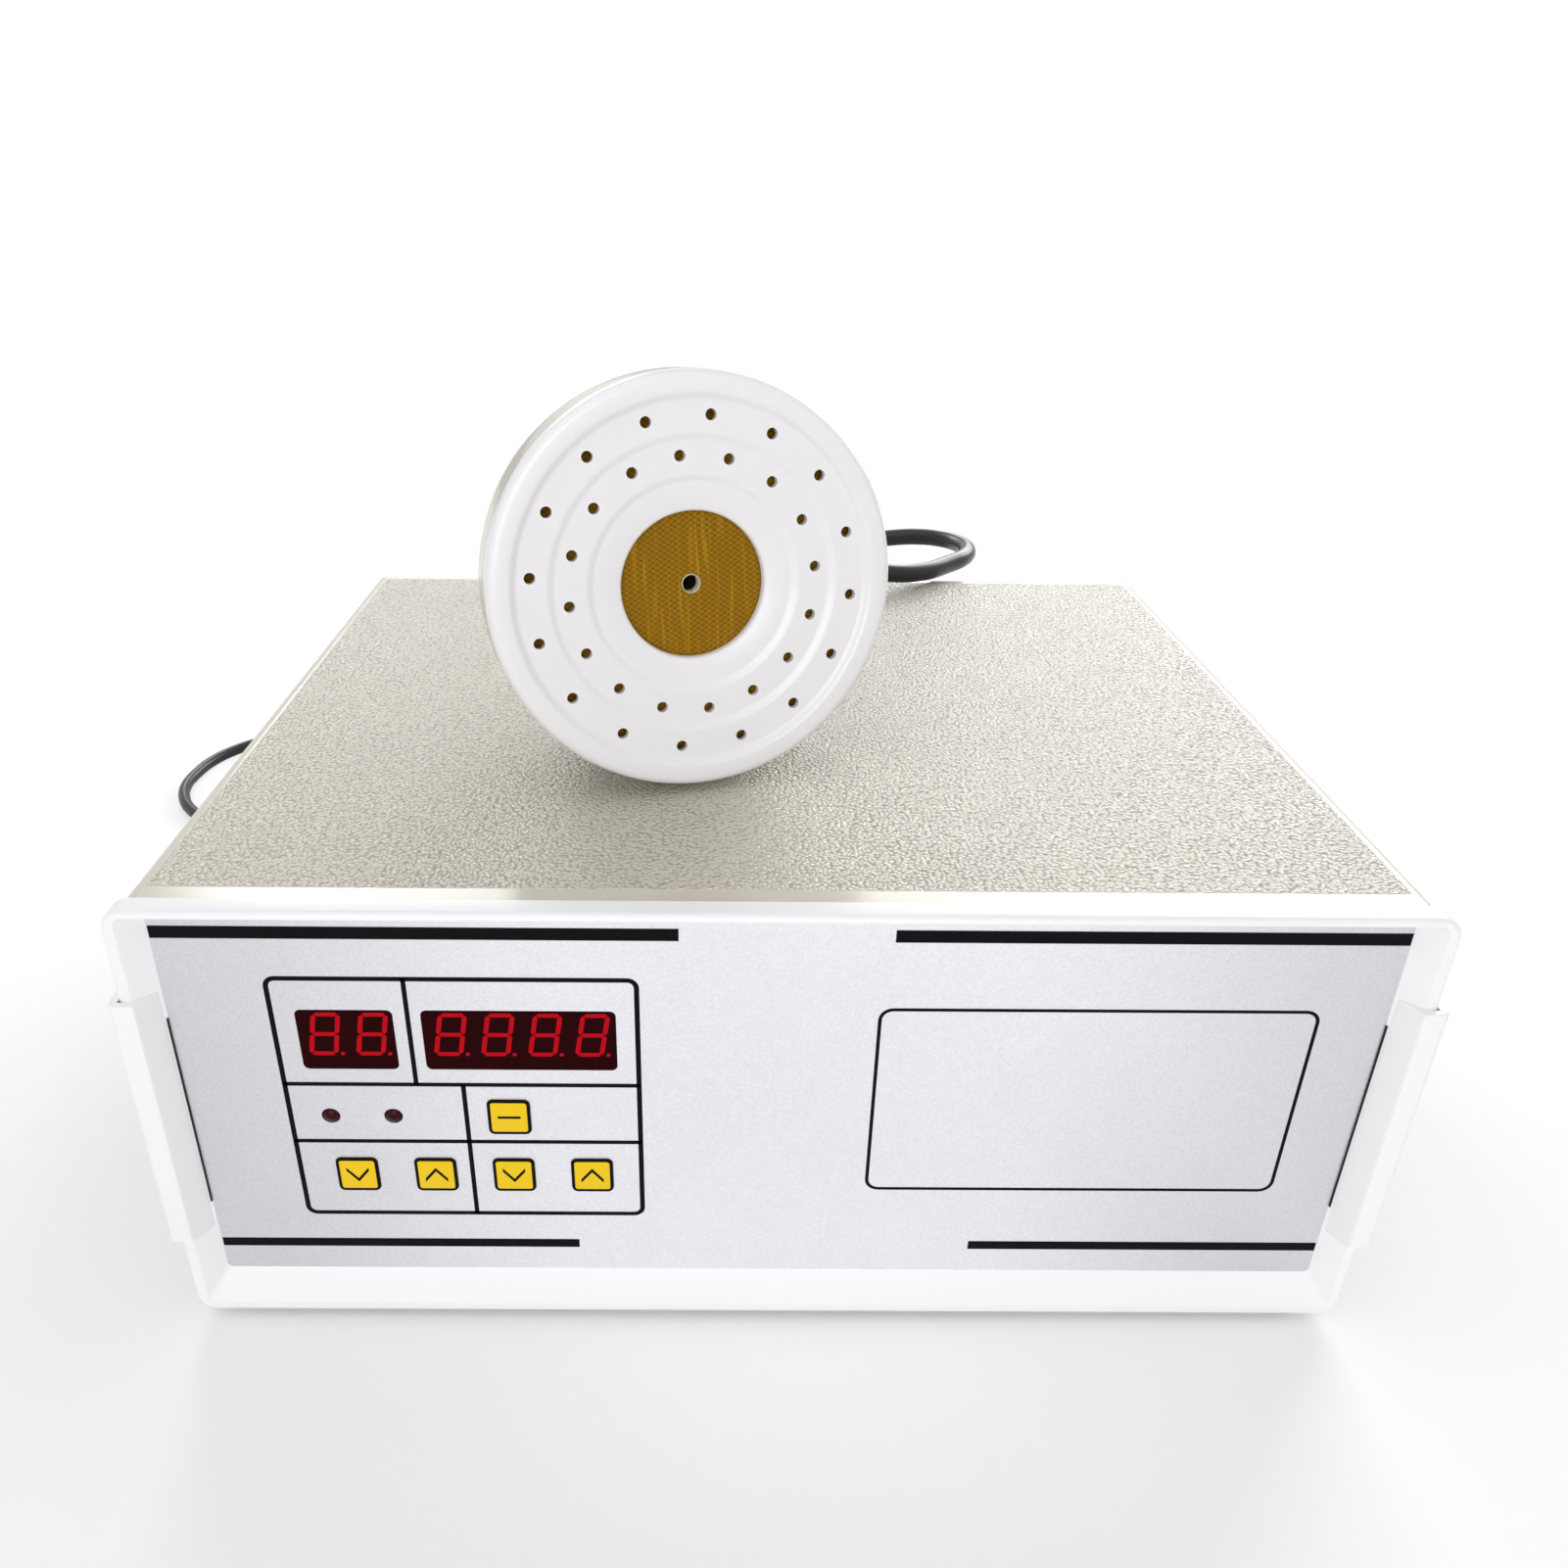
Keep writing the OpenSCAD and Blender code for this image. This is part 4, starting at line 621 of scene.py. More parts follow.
class Shape:
    """A mesh in the making. Flat outlines are drawn in X and Z and drawn out along Y."""

    def __init__(self) -> None:
        """Starts with nothing."""
        self.bm = bmesh.new()

    def bevel(self, geom: Sequence[Vert | Edge], width: float, segments: int, affect: str) -> dict[str, list]:
        """Rounds corners, where affect is VERTICES, or EDGES, and returns what that made."""
        return bmesh.ops.bevel(
            self.bm, geom=geom, offset=width, offset_type="OFFSET", segments=segments, profile=0.5,
            affect=affect, clamp_overlap=affect == "EDGES", material=-1,
        )

    def rounded(self, size: Flat, corner: float, centre: Flat, depth: float, segments: int = 6) -> Face:
        """Makes a rounded rectangle that faces -Y.

        Args:
            size: Width and height.
            corner: Corner radius.
            centre: Middle, across and up.
            depth: Place along Y.
            segments: Steps in each corner.

        Returns:
            The face.
        """
        verts = bmesh.ops.create_grid(self.bm, x_segments=1, y_segments=1, size=0.5)["verts"]
        bmesh.ops.scale(self.bm, vec=(*size, 1.0), verts=verts)
        done = self.bevel(verts, corner, segments, "VERTICES")
        face = done["verts"][0].link_faces[0]
        stand = Matrix.Translation((centre[0], depth, centre[1])) @ Matrix.Rotation(QUARTER, 4, "X")
        bmesh.ops.transform(self.bm, matrix=stand, verts=list(face.verts))
        return face

    def draw_out(self, faces: Sequence[Face], vector: Point) -> None:
        """Draws faces out into a solid.

        Args:
            faces: The faces to draw out.
            vector: How far, and which way.
        """
        made = bmesh.ops.extrude_face_region(self.bm, geom=list(faces))
        moved = [v for v in made["geom"] if isinstance(v, Vert)]
        bmesh.ops.translate(self.bm, vec=vector, verts=moved)

    def plate(self, size: Flat, corner: float, centre: Flat, front: float, back: float) -> None:
        """Adds a rounded plate between two places along Y. Args as in rounded."""
        self.draw_out([self.rounded(size, corner, centre, front)], (0.0, back - front, 0.0))

    def slab(self, points: Sequence[Flat], front: float, back: float) -> None:
        """Adds a flat solid with this outline between two places along Y."""
        face = self.bm.faces.new([self.bm.verts.new((x, front, z)) for x, z in points])
        self.draw_out([face], (0.0, back - front, 0.0))

    def hoop(self, outer: Rounded, inner: Rounded, front: float, back: float) -> None:
        """Adds a flat frame between an outer and an inner rounded rectangle.

        Args:
            outer: Size, corner radius and middle of the outside.
            inner: Size, corner radius and middle of the inside.
            front: Front face along Y.
            back: Back face along Y.
        """
        faces = [self.rounded(size, corner, centre, front) for size, corner, centre in (outer, inner)]
        edges = [e for f in faces for e in f.edges]
        bmesh.ops.delete(self.bm, geom=faces, context="FACES_ONLY")
        bridged = bmesh.ops.bridge_loops(self.bm, edges=edges)
        self.draw_out(bridged["faces"], (0.0, back - front, 0.0))

    def lathe(self, profile: Sequence[Flat], steps: int, closed: bool = False) -> None:
        """Spins a profile of radius and height round Z.

        Args:
            profile: Radius and height of each point, along the outline.
            steps: Steps round the axis.
            closed: Joins the last point to the first.
        """
        verts = [self.bm.verts.new((r, 0.0, z)) for r, z in profile]
        pairs = list(zip(verts, verts[1:])) + ([(verts[-1], verts[0])] if closed else [])
        edges = [self.bm.edges.new(pair) for pair in pairs]
        bmesh.ops.spin(
            self.bm, geom=verts + edges, cent=(0, 0, 0), axis=(0, 0, 1), angle=2 * math.pi, steps=steps,
            use_merge=True,
        )

    def tidy(self) -> None:
        """Merges doubles and turns every face outwards."""
        bmesh.ops.remove_doubles(self.bm, verts=self.bm.verts[:], dist=MERGE_BELOW)
        bmesh.ops.recalc_face_normals(self.bm, faces=self.bm.faces[:])

    def round_edges(self, width: float, segments: int, before: float = math.inf) -> None:
        """Rounds the sharp edges.

        Args:
            width: Radius of the rounding.
            segments: Steps across it.
            before: Only edges in front of this place along Y.
        """
        self.tidy()
        sharp = [e for e in self.bm.edges if len(e.link_faces) == 2 and e.calc_face_angle() > SHARP_ABOVE]
        self.bevel([e for e in sharp if all(v.co.y < before for v in e.verts)], width, segments, "EDGES")

    def place(self, matrix: Matrix) -> None:
        """Moves the whole shape."""
        bmesh.ops.transform(self.bm, matrix=matrix, verts=self.bm.verts[:])

    def to_mesh(self, name: str) -> bpy.types.Mesh:
        """Merges doubles and turns the shape into a mesh.

        Args:
            name: The mesh's name.

        Returns:
            The mesh.
        """
        self.tidy()
        mesh = bpy.data.meshes.new(name)
        self.bm.to_mesh(mesh)
        self.bm.free()
        return mesh

    def make(self, name: str, finish: Finish, body: str = BODY, replaces: Sequence[str] = ()) -> Piece:
        """Turns the shape into a finished piece.

        Args:
            name: The piece's name.
            finish: Its finish.
            body: The body that it rides on.
            replaces: Nodes that it stands for.

        Returns:
            The piece.
        """
        mesh = self.to_mesh(name)
        for face in mesh.polygons:
            face.use_smooth = True
        mesh.set_sharp_from_angle(angle=SMOOTH_BELOW)
        mesh.materials.append(finish.material())
        piece = add_object(name, mesh)
        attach(piece, body)
        if replaces:
            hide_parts(*replaces)
        LOG.info("%s: %d faces on %s", name, len(mesh.polygons), body)
        return piece


def arc(centre: Flat, radius: float, start: float, end: float, steps: int) -> list[Flat]:
    """Points along an arc.

    Args:
        centre: Middle of the arc.
        radius: Its radius.
        start: First angle in degrees.
        end: Last angle in degrees.
        steps: Steps between them.

    Returns:
        The points, both ends included.
    """
    angles = [math.radians(start + (end - start) * i / steps) for i in range(steps + 1)]
    return [(centre[0] + radius * math.cos(a), centre[1] + radius * math.sin(a)) for a in angles]


def cut(piece: Piece, tools: Shape) -> None:
    """Cuts shapes out of a piece for good.

    Args:
        piece: The piece.
        tools: What is cut away.
    """
    cutter = add_object("cutter", tools.to_mesh("cutter"))
    step = piece.modifiers.new("holes", "BOOLEAN")
    step.operation = "DIFFERENCE"
    step.solver = "EXACT"
    step.object = cutter
    bpy.context.view_layer.update()
    done = bpy.data.meshes.new_from_object(piece.evaluated_get(bpy.context.evaluated_depsgraph_get()))
    piece.modifiers.clear()
    old = piece.data
    piece.data = done
    done.name = piece.name
    done.set_sharp_from_angle(angle=SMOOTH_BELOW)
    bpy.data.meshes.remove(old)
    bpy.data.objects.remove(cutter)


# Cords


@dataclass
class CordRun:
    """One cord on its route, and the tie on its coil."""

    name: str
    diameter: float
    points: list[Vector]
    exit: Vector
    far_end: str
    nodes: tuple[str, ...]
    coil_middle: Vector
    coil_band: Flat
    coil_height: float
    tie_turn: float
    on_it: tuple[str, ...] = ()
    strap_width: float = 9 * MM
    strap_wall: float = 1.1 * MM
    strap_slack: float = 0.3 * MM
    strap_corners: Flat = (3 * MM, 2 * MM)
    strap_edge: float = 0.3 * MM
    sides: int = 5
    steps: int = 6

    def build(self, nodes: dict[str, Piece]) -> None:
        """Lays the cord and its tie.

        Args:
            nodes: The CAD nodes by name.
        """
        curve = bpy.data.curves.new(self.name, "CURVE")
        curve.dimensions = "3D"
        curve.bevel_depth = self.diameter / 2
        curve.bevel_resolution = self.sides
        curve.resolution_u = self.steps
        curve.use_fill_caps = True
        spline = curve.splines.new("BEZIER")
        spline.bezier_points.add(len(self.points) - 1)
        for point, place in zip(spline.bezier_points, self.points):
            point.co = place
            point.handle_left_type = point.handle_right_type = "AUTO"
        curve.materials.append(SHEATH.material())
        cord = add_object(self.name, curve)
        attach(cord, BODY)
        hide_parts(*self.nodes)
        bpy.context.view_layer.update()
        [self.tie()] + [nodes[n] for n in self.on_it]

    def tie(self) -> Piece:
        """Straps the turns of the coil together.

        Returns:
            The tie.
        """
        wall, half = self.strap_wall, self.strap_width / 2
        inner, outer = self.coil_band
        across, high = outer - inner + 2 * self.strap_slack, self.coil_height
        middle = (inner + outer) / 2
        outside = ((across + 2 * wall, high + wall), self.strap_corners[0], (middle, (high + wall) / 2))
        inside = ((across, high), self.strap_corners[1], (middle, high / 2))
        shape = Shape()
        shape.hoop(outside, inside, -half, half)
        shape.round_edges(self.strap_edge, 1)
        shape.place(Matrix.Translation(self.coil_middle) @ Matrix.Rotation(self.tie_turn, 4, "Z"))
        return shape.make(self.name + "_tie", TIE)


def turns(middle: Flat, radii: Flat, start_deg: float, sweep_deg: float, height: float) -> list[Vector]:
    """Points along a flat spiral behind the panel, in millimetres.

    Args:
        middle: Middle of the coil, across and behind the panel.
        radii: First and last radius.
        start_deg: First angle.
        sweep_deg: How far it turns, negative for clockwise.
        height: Height of its middle line.

    Returns:
        The points in the row frame.
    """
    count = round(abs(sweep_deg) / 360 * POINTS_PER_TURN)
    found = []
    for i in range(count + 1):
        t = i / count
        angle = math.radians(start_deg + sweep_deg * t)
        radius = radii[0] + (radii[1] - radii[0]) * t
        across, back = radius * math.cos(angle), radius * math.sin(angle)
        found.append(behind(middle[0] + across, middle[1] + back, height))
    return found


POINTS_PER_TURN = 20
LEAD_ROUTE = (
    (-63.9, 224.2, 184.3), (-60, 237.4, 181.9), (-51.7, 248.3, 179.1), (-40, 255.3, 176),
    (-25.9, 258, 172.5), (-10, 257.5, 168.5), (8, 255.5, 164), (26, 253.5, 159.5),
    (44, 253.2, 155), (60.7, 257.2, 151.8), (75.5, 266.5, 150), (87.2, 278.8, 149.3),
    (96.5, 290.4, 149), (101.2, 303.7, 148.5), (100.3, 317.8, 147.5), (94, 330.2, 146.5),
    (83.6, 339, 145.2), (70, 344.1, 143), (54, 348.5, 139), (37.5, 354, 132.5),
    (21, 361, 123.5), (6, 371, 112), (-6, 384.5, 97.5), (-12.6, 401, 81),
    (-11.5, 418.5, 63.5), (-2.5, 433.5, 45.5), (13, 442, 29), (31, 443, 15.5),
    (47, 438, 8), (59, 428, 4.6),
)
LEAD_RETURN = (
    (84, 388, 4), (84, 372, 5.5), (84, 356, 10), (84, 340, 17.5), (84.5, 325, 26.5), (85, 310, 35),
    (85, 298, 38.8), (85, 290, 40),
)
CORD_ROUTE = (
    (-125, 294, 40), (-125, 306, 38.5), (-128, 318, 33.5), (-136, 329, 25), (-148, 334, 16), (-162, 334, 9),
    (-177, 328, 4.5), (-192, 319, 3), (-206, 309, 3), (-220, 299, 3), (-235, 291, 3), (-250, 288, 3),
    (-266, 290, 3), (-281, 297, 3), (-294, 308, 3), (-303, 321, 3), (-308, 336, 3), (-308, 352, 3),
    (-305, 367, 3), (-297, 382, 3), (-285, 394, 3), (-271, 402, 3), (-255, 407, 3), (-238, 411, 3),
    (-221, 416, 3), (-205, 422, 3), (-190, 426, 3),
)
CORD_TAIL = ((-166, 421, 9.2), (-157, 421, 9.6), (-148, 421, 9.9), (-139, 421, 10))
SLEEVE_END = 138.0 * MM
SLEEVE_STRAIGHT = 9.6 * MM
LEAD_COIL = (30, 404)
CORD_COIL = (-175, 385)
CLIMB_STEPS = 12


def head_lead() -> CordRun:
    """The lead from the head's sleeve, round behind the box and back into its outlet."""
    axis = LAID_DOWN.to_3x3() @ Vector((0, 0, 1))
    start = HEAD_PLACE + SLEEVE_END * axis
    coil = turns(LEAD_COIL, (38, 54), 15.3, -735.3, 4)
    return CordRun(
        name="head_lead_sheath", diameter=8 * MM,
        points=[start, start + SLEEVE_STRAIGHT * axis, *route(LEAD_ROUTE), *coil, *route(LEAD_RETURN)],
        exit=start, far_end="object", nodes=("head_lead", "head_lead_coil"),
        coil_middle=behind(*LEAD_COIL, 0), coil_band=(34 * MM, 58 * MM), coil_height=8 * MM,
        tie_turn=math.radians(200), on_it=("head_lead_gland",),
    )


def power_cord() -> CordRun:
    """The mains cord, from its outlet along the floor to its coil and plug."""
    radius = 3
    lower = turns(CORD_COIL, (42, 24), 90, -1080, radius)
    upper = turns(CORD_COIL, (24, 36), 90, -720, 3 * radius)
    coil = [*lower, *upper[1:]]
    first = len(lower) - 1 - CLIMB_STEPS // 2
    for step in range(CLIMB_STEPS + 1):
        coil[first + step].z = radius * (2 - math.cos(math.pi * step / CLIMB_STEPS)) * MM
    return CordRun(
        name="power_cord_sheath", diameter=6 * MM,
        points=[*route(CORD_ROUTE), *coil, *route(CORD_TAIL)], exit=behind(*CORD_ROUTE[0]),
        far_end="plug", nodes=("power_cord", "power_cord_coil", "power_cord_tail"),
        coil_middle=behind(*CORD_COIL, 0), coil_band=(21 * MM, 45 * MM), coil_height=12 * MM,
        tie_turn=math.radians(-30), on_it=("power_plug", "power_cord_gland"),
    )


# Front of the box


class Side(Enum):
    """Left or right of the box, seen from the front."""

    LEFT = -1
    RIGHT = 1


@dataclass
class FrontFrame:
    """White bezel that slopes down to the panel, and the grip strips over its sides."""

    half_width: float = 172.0
    low: float = 2.8
    top: float = 145.5
    corner: float = 6.0
    rim: float = 3.8
    top_rim: float = 1.9
    rim_corner: float = 2.5
    opening: Point = (162.5, 16.0, 142.6)
    opening_corner: float = 1.5
    rounding: tuple[tuple[int, float, int], ...] = ((1, 1.8, 6), (2, 0.9, 4))
    recess: float = 5.0
    back: float = 2.0
    lap: float = 1.0
    grip_span: Flat = (34.0, 118.0)
    grip_outer: float = 174.2
    grip_flat: float = 7.2
    grip_front: float = 7.5
    grip_back: float = 4.5
    grip_corner: float = 2.5
    grip_foot: Point = (0.8, 0.45, -0.9)
    hook: float = 1.8
    play: float = 0.05
    grip_edge: float = 0.5 * MM
    grip_edges_before: float = PANEL_Y - 2.0 * MM
    # Where the dark strips of painted shadow lie beside the grips.
    shadow_strip_span: Flat = (43.0, 109.0)
    shadow_strip_reach: Flat = (-0.05, 0.3)
    shadow_strip_depth: Flat = (-0.55, -0.02)

    def build(self) -> None:
        """Builds the bezel and both grips."""
        self.bezel()
        for side in Side:
            self.grip(side)

    def ring(self, shape: Shape, edges: Point, corner: float, depth: float) -> list[Edge]:
        """Draws one rounded loop of the bezel.

        Args:
            shape: The bezel in the making.
            edges: Half of the loop's width, its lower and its upper edge, in millimetres as all of these.
            corner: Corner radius.
            depth: Place behind the panel's face.

        Returns:
            The loop's edges.
        """
        half, low, top = edges
        middle = (0.0, (low + top) / 2 * MM)
        size = (2 * half * MM, (top - low) * MM)
        face = shape.rounded(size, corner * MM, middle, PANEL_Y + depth * MM, segments=8)
        found = list(face.edges)
        bmesh.ops.delete(shape.bm, geom=[face], context="FACES_ONLY")
        return found

    def bezel(self) -> None:
        """Builds the bezel from loops: outside, front rim, slope down to the panel, and rabbet behind."""
        half, low, top = self.opening
        outside = (self.half_width, self.low, self.top)
        rim = (self.half_width - self.rim, self.low + self.rim, self.top - self.top_rim)
        shape = Shape()
        loops = [
            self.ring(shape, outside, self.corner, self.back),
            self.ring(shape, outside, self.corner, -self.recess),
            self.ring(shape, rim, self.rim_corner, -self.recess),
            self.ring(shape, self.opening, self.opening_corner, 0.0),
        ]
        corners = [{v for e in loop for v in e.verts} for loop in loops]
        for one, two in zip(loops, loops[1:]):
            bmesh.ops.bridge_loops(shape.bm, edges=one + two)
        grow = Vector(((half + self.lap) / half, 1.0, 1.0 + 2 * self.lap / (top - low)))
        lip = self.pull(shape, loops[-1])
        middle = Matrix.Translation((0.0, -PANEL_Y, -(low + top) / 2 * MM))
        bmesh.ops.scale(shape.bm, vec=grow, space=middle, verts=list({v for e in lip for v in e.verts}))
        lip = self.pull(shape, lip)
        away = (0.0, self.back * MM, 0.0)
        bmesh.ops.translate(shape.bm, vec=away, verts=list({v for e in lip for v in e.verts}))
        bmesh.ops.bridge_loops(shape.bm, edges=lip + loops[0])
        for loop, width, steps in self.rounding:
            edges = [e for e in shape.bm.edges if all(v in corners[loop] for v in e.verts)]
            shape.bevel(edges, width * MM, steps, "EDGES")
        shape.make("bezel_frame", BEZEL, replaces=("front_bezel",))
        self.gap_shadows()

    def pull(self, shape: Shape, edges: list[Edge]) -> list[Edge]:
        """Draws a loop out into a new one.

        Args:
            shape: The bezel in the making.
            edges: The loop's edges.

        Returns:
            The new loop's edges, still in the same place.
        """
        made = bmesh.ops.extrude_edge_only(shape.bm, edges=edges)["geom"]
        fresh = {v for v in made if isinstance(v, Vert)}
        return [e for e in made if isinstance(e, Edge) and all(v in fresh for v in e.verts)]

    def gap_shadows(self) -> None:
        """Lays a dark strip as painted shadow in the gap between the panel and each grip's foot."""
        near, far = (self.opening[0] + reach for reach in self.shadow_strip_reach)
        front, back = (PANEL_Y + depth * MM for depth in self.shadow_strip_depth)
        shape = Shape()
        for side in Side:
            corners = box_outline(near, far, *self.shadow_strip_span)
            shape.slab([(side.value * x * MM, z * MM) for x, z in corners], front, back)
        shape.make("grip_gap_shadows", PAINTED_GAP_SHADOW)

    def grip(self, side: Side) -> None:
        """Builds one grip strip: a sloped inner face, a flat front and a hook behind the bezel's edge.

        Args:
            side: Which side of the box it is on.
        """
        outer, front, corner = self.grip_outer, -self.grip_front, self.grip_corner
        foot_gap, foot_width, foot_y = self.grip_foot
        foot = self.opening[0] + foot_gap
        hook, edge = self.half_width - self.hook, self.half_width + self.play
        rear, lip = self.back + self.play, -self.recess - self.play
        section = [
            (foot, foot_y), (outer - self.grip_flat, front), (outer - corner, front),
            *arc((outer - corner, front + corner), corner, -75, 0, 5),
            (outer, self.grip_back), (hook, self.grip_back), (hook, rear), (edge, rear), (edge, lip),
            (self.half_width - self.rim - self.play, lip), (foot + foot_width, foot_y),
        ]
        low, high = self.grip_span
        shape = Shape()
        face = shape.bm.faces.new([shape.bm.verts.new(behind(x, y, low)) for x, y in section])
        shape.draw_out([face], (0.0, 0.0, (high - low) * MM))
        shape.round_edges(self.grip_edge, 3, before=self.grip_edges_before)
        if side is Side.LEFT:
            shape.place(Matrix.Scale(-1, 4, (1, 0, 0)))
        name = side.name.lower() + "_grip"
        shape.make(name + "_strip", BEZEL, replaces=(name,))


class Sign(Enum):
    """What is printed on a key."""

    MINUS = "minus"
    DOWN = "down"
    UP = "up"


@dataclass
class Key:
    """One yellow key with its outline and sign."""

    node: str
    place: Flat
    sign: Sign
    size: Flat = (11.7 * MM, 12.0 * MM)
    corner: float = 1.6 * MM
    proud: float = 0.4 * MM
    rounding: float = 0.12 * MM
    seat: float = 2.0 * MM
    flange: Point = (1.4 * MM, 0.8 * MM, 3.0 * MM)
    ink: float = 0.04 * MM
    line: float = 0.85 * MM
    line_past: float = 0.05 * MM
    line_corner: float = 0.8 * MM
    sign_half: float = 3.2
    rise: float = 2.0
    stroke: float = 1.3
    minus_half: float = 0.42

    def build(self) -> None:
        """Builds the key and its print on the key's own body."""
        at = (self.place[0] * MM, PANEL_LOW + self.place[1] * MM)
        top, seat = PANEL_Y - self.proud, PANEL_Y + self.seat
        reach, thick, corner = self.flange
        cap = Shape()
        cap.plate(self.size, self.corner, at, top, seat)
        cap.round_edges(self.rounding, 2, before=PANEL_Y - 0.1 * MM)
        cap.plate(grown(self.size, reach), corner, at, seat, seat + thick)
        cap.make(self.node + "_cap", KEY, self.node, replaces=(self.node,))
        legend = Shape()
        outside = (grown(self.size, self.line_past), self.corner + self.line_past, at)
        inside = (grown(self.size, self.line_past - self.line), self.line_corner, at)
        legend.hoop(outside, inside, top - self.ink, PANEL_Y + self.ink)
        outline = [(at[0] + a * MM, at[1] + b * MM) for a, b in self.sign_outline()]
        legend.slab(outline, top - self.ink, top + self.ink)
        legend.make(self.node + "_print", INK, self.node)

    def sign_outline(self) -> list[Flat]:
        """Draws the outline of the sign.

        Returns:
            Its corners, in millimetres from the key's middle.
        """
        half, rise, thick = self.sign_half, self.rise, self.stroke / 2
        if self.sign is Sign.MINUS:
            return box_outline(-half, half, -self.minus_half, self.minus_half)
        flip = 1.0 if self.sign is Sign.UP else -1.0
        upper = [(-half, -rise), (0.0, rise), (half, -rise)]
        points = [(a, flip * (b + thick)) for a, b in upper]
        points += [(a, flip * (b - thick)) for a, b in reversed(upper)]
        return points if flip < 0 else points[::-1]


@dataclass
class ControlPanel:
    """Silver panel with its printed rules, windows, digits, lamps and keys."""

    ink: float = 0.05 * MM
    windows: tuple[tuple[str, float, float, int], ...] = (
        ("time_digits", -115.8, 26.0, 2), ("count_digits", -69.4, 52.0, 4),
    )
    window_z: float = 86.0
    window_height: float = 20.0
    mask_line: float = 0.4
    mask_corners: Flat = (0.3, 1.7)
    mask_back: float = 0.01 * MM
    digit: Flat = (7.9, 14.4)
    digit_at: Flat = (0.5, 87.9)
    pitch: float = 12.7
    stroke: float = 1.3
    slant: float = 0.16
    segment_gap: float = 0.12
    segment_depth: Flat = (-0.03 * MM, 0.1 * MM)
    dot: float = 0.6
    dot_past: float = 1.2
    stripes: tuple[tuple[float, float, float, float], ...] = (
        (-162.3, -26.5, 118.6, 122.4), (29.4, 162.3, 118.6, 122.4), (-162.3, -56.7, 8.8, 12.0),
        (58.7, 162.3, 8.8, 12.0), (-135.2, -37.4, 70.0, 71.3), (-135.2, -37.4, 49.4, 50.7),
        (-99.5, -98.2, 70.6, 106.4), (-86.7, -85.4, 22.2, 70.6),
    )
    frames: tuple[tuple[float, float, float, float, float, float], ...] = (
        (-135.7, -37.0, 21.8, 106.8, 3.2, 1.4), (26.5, 144.5, 32.5, 97.6, 4.0, 1.0),
    )
    lamps: tuple[tuple[str, float], ...] = (("power_lamp", -123.8), ("work_lamp", -106.4))
    lamp_z: float = 59.3
    lamp_radius: float = 2.5
    lamp_flange: float = 3.0
    dome: Flat = (3.0, -2.2)
    lamp_levels: Point = (-0.55, -8.0, -9.0)
    keys: list[Key] = field(default_factory=lambda: [
        Key("zero_key", (-74.14, 59.3), Sign.MINUS), Key("time_down_key", (-118.8, 37.7), Sign.DOWN),
        Key("time_up_key", (-96.47, 37.7), Sign.UP), Key("power_down_key", (-74.14, 37.7), Sign.DOWN),
        Key("power_up_key", (-51.81, 37.7), Sign.UP),
    ])

    def build(self) -> None:
        """Builds everything on the panel."""
        self.rules()
        self.masks()
        for name, middle, _, count in self.windows:
            self.digits(name, middle, count)
        for node, x in self.lamps:
            self.lamp(node, x)
        for key in self.keys:
            key.build()

    def rules(self) -> None:
        """Prints the black stripes, outlines and dividers."""
        shape = Shape()
        front, back = PANEL_Y - self.ink, PANEL_Y + self.ink
        for stripe in self.stripes:
            shape.slab([(x * MM, PANEL_LOW + z * MM) for x, z in box_outline(*stripe)], front, back)
        for left, right, low, high, corner, line in self.frames:
            middle = ((left + right) / 2 * MM, PANEL_LOW + (low + high) / 2 * MM)
            size = ((right - left) * MM, (high - low) * MM)
            inside = (grown(size, -line * MM), (corner - line) * MM, middle)
            shape.hoop((size, corner * MM, middle), inside, front, back)
        shape.make("panel_rules", INK)

    def masks(self) -> None:
        """Rounds the corners of the windows with the film that frames them."""
        outer, inner = self.mask_corners
        shape = Shape()
        for _, middle, width, _ in self.windows:
            at = (middle * MM, PANEL_LOW + self.window_z * MM)
            size = (width * MM, self.window_height * MM)
            outside = (grown(size, self.mask_line * MM), outer * MM, at)
            shape.hoop(outside, (size, inner * MM, at), PANEL_Y - self.ink, PANEL_Y + self.mask_back)
        shape.make("window_masks", FILM)

    def digits(self, name: str, middle: float, count: int) -> None:
        """Lays dim seven-segment digits on a window.

        Args:
            name: The piece's name.
            middle: Middle of the window, across the panel.
            count: How many digits.
        """
        shape = Shape()
        aside, up = self.digit_at
        front, back = (PANEL_Y + depth for depth in self.segment_depth)
        for i in range(count):
            x = middle + (i - (count - 1) / 2) * self.pitch + aside
            for points in self.segments():
                lean = [((x + a + self.slant * b) * MM, PANEL_LOW + (up + b) * MM) for a, b in points]
                shape.slab(lean, front, back)
        shape.make(name, SEGMENT)

    def segments(self) -> list[list[Flat]]:
        """Draws one digit.

        Returns:
            Outlines of the seven segments and the point, in millimetres.
        """
        half_w, half_h = self.digit[0] / 2, self.digit[1] / 2
        s, gap = self.stroke / 2, self.segment_gap
        reach = half_w - s - gap
        found = [self.bar(-reach, reach, z) for z in (half_h - s, 0.0, -half_h + s)]
        for x in (-half_w + s, half_w - s):
            for low, high in ((gap, half_h - s - gap), (-half_h + s + gap, -gap)):
                found.append([(x - b, a) for a, b in self.bar(low, high, 0.0)])
        found.append(arc((half_w + self.dot_past, -half_h + self.dot), self.dot, 0, 330, 11))
        return found

    def bar(self, start: float, end: float, level: float) -> list[Flat]:
        """Outline of one pointed segment between two places, at one level."""
        s = self.stroke / 2
        return [
            (start, level), (start + s, level - s), (end - s, level - s), (end, level),
            (end - s, level + s), (start + s, level + s),
        ]

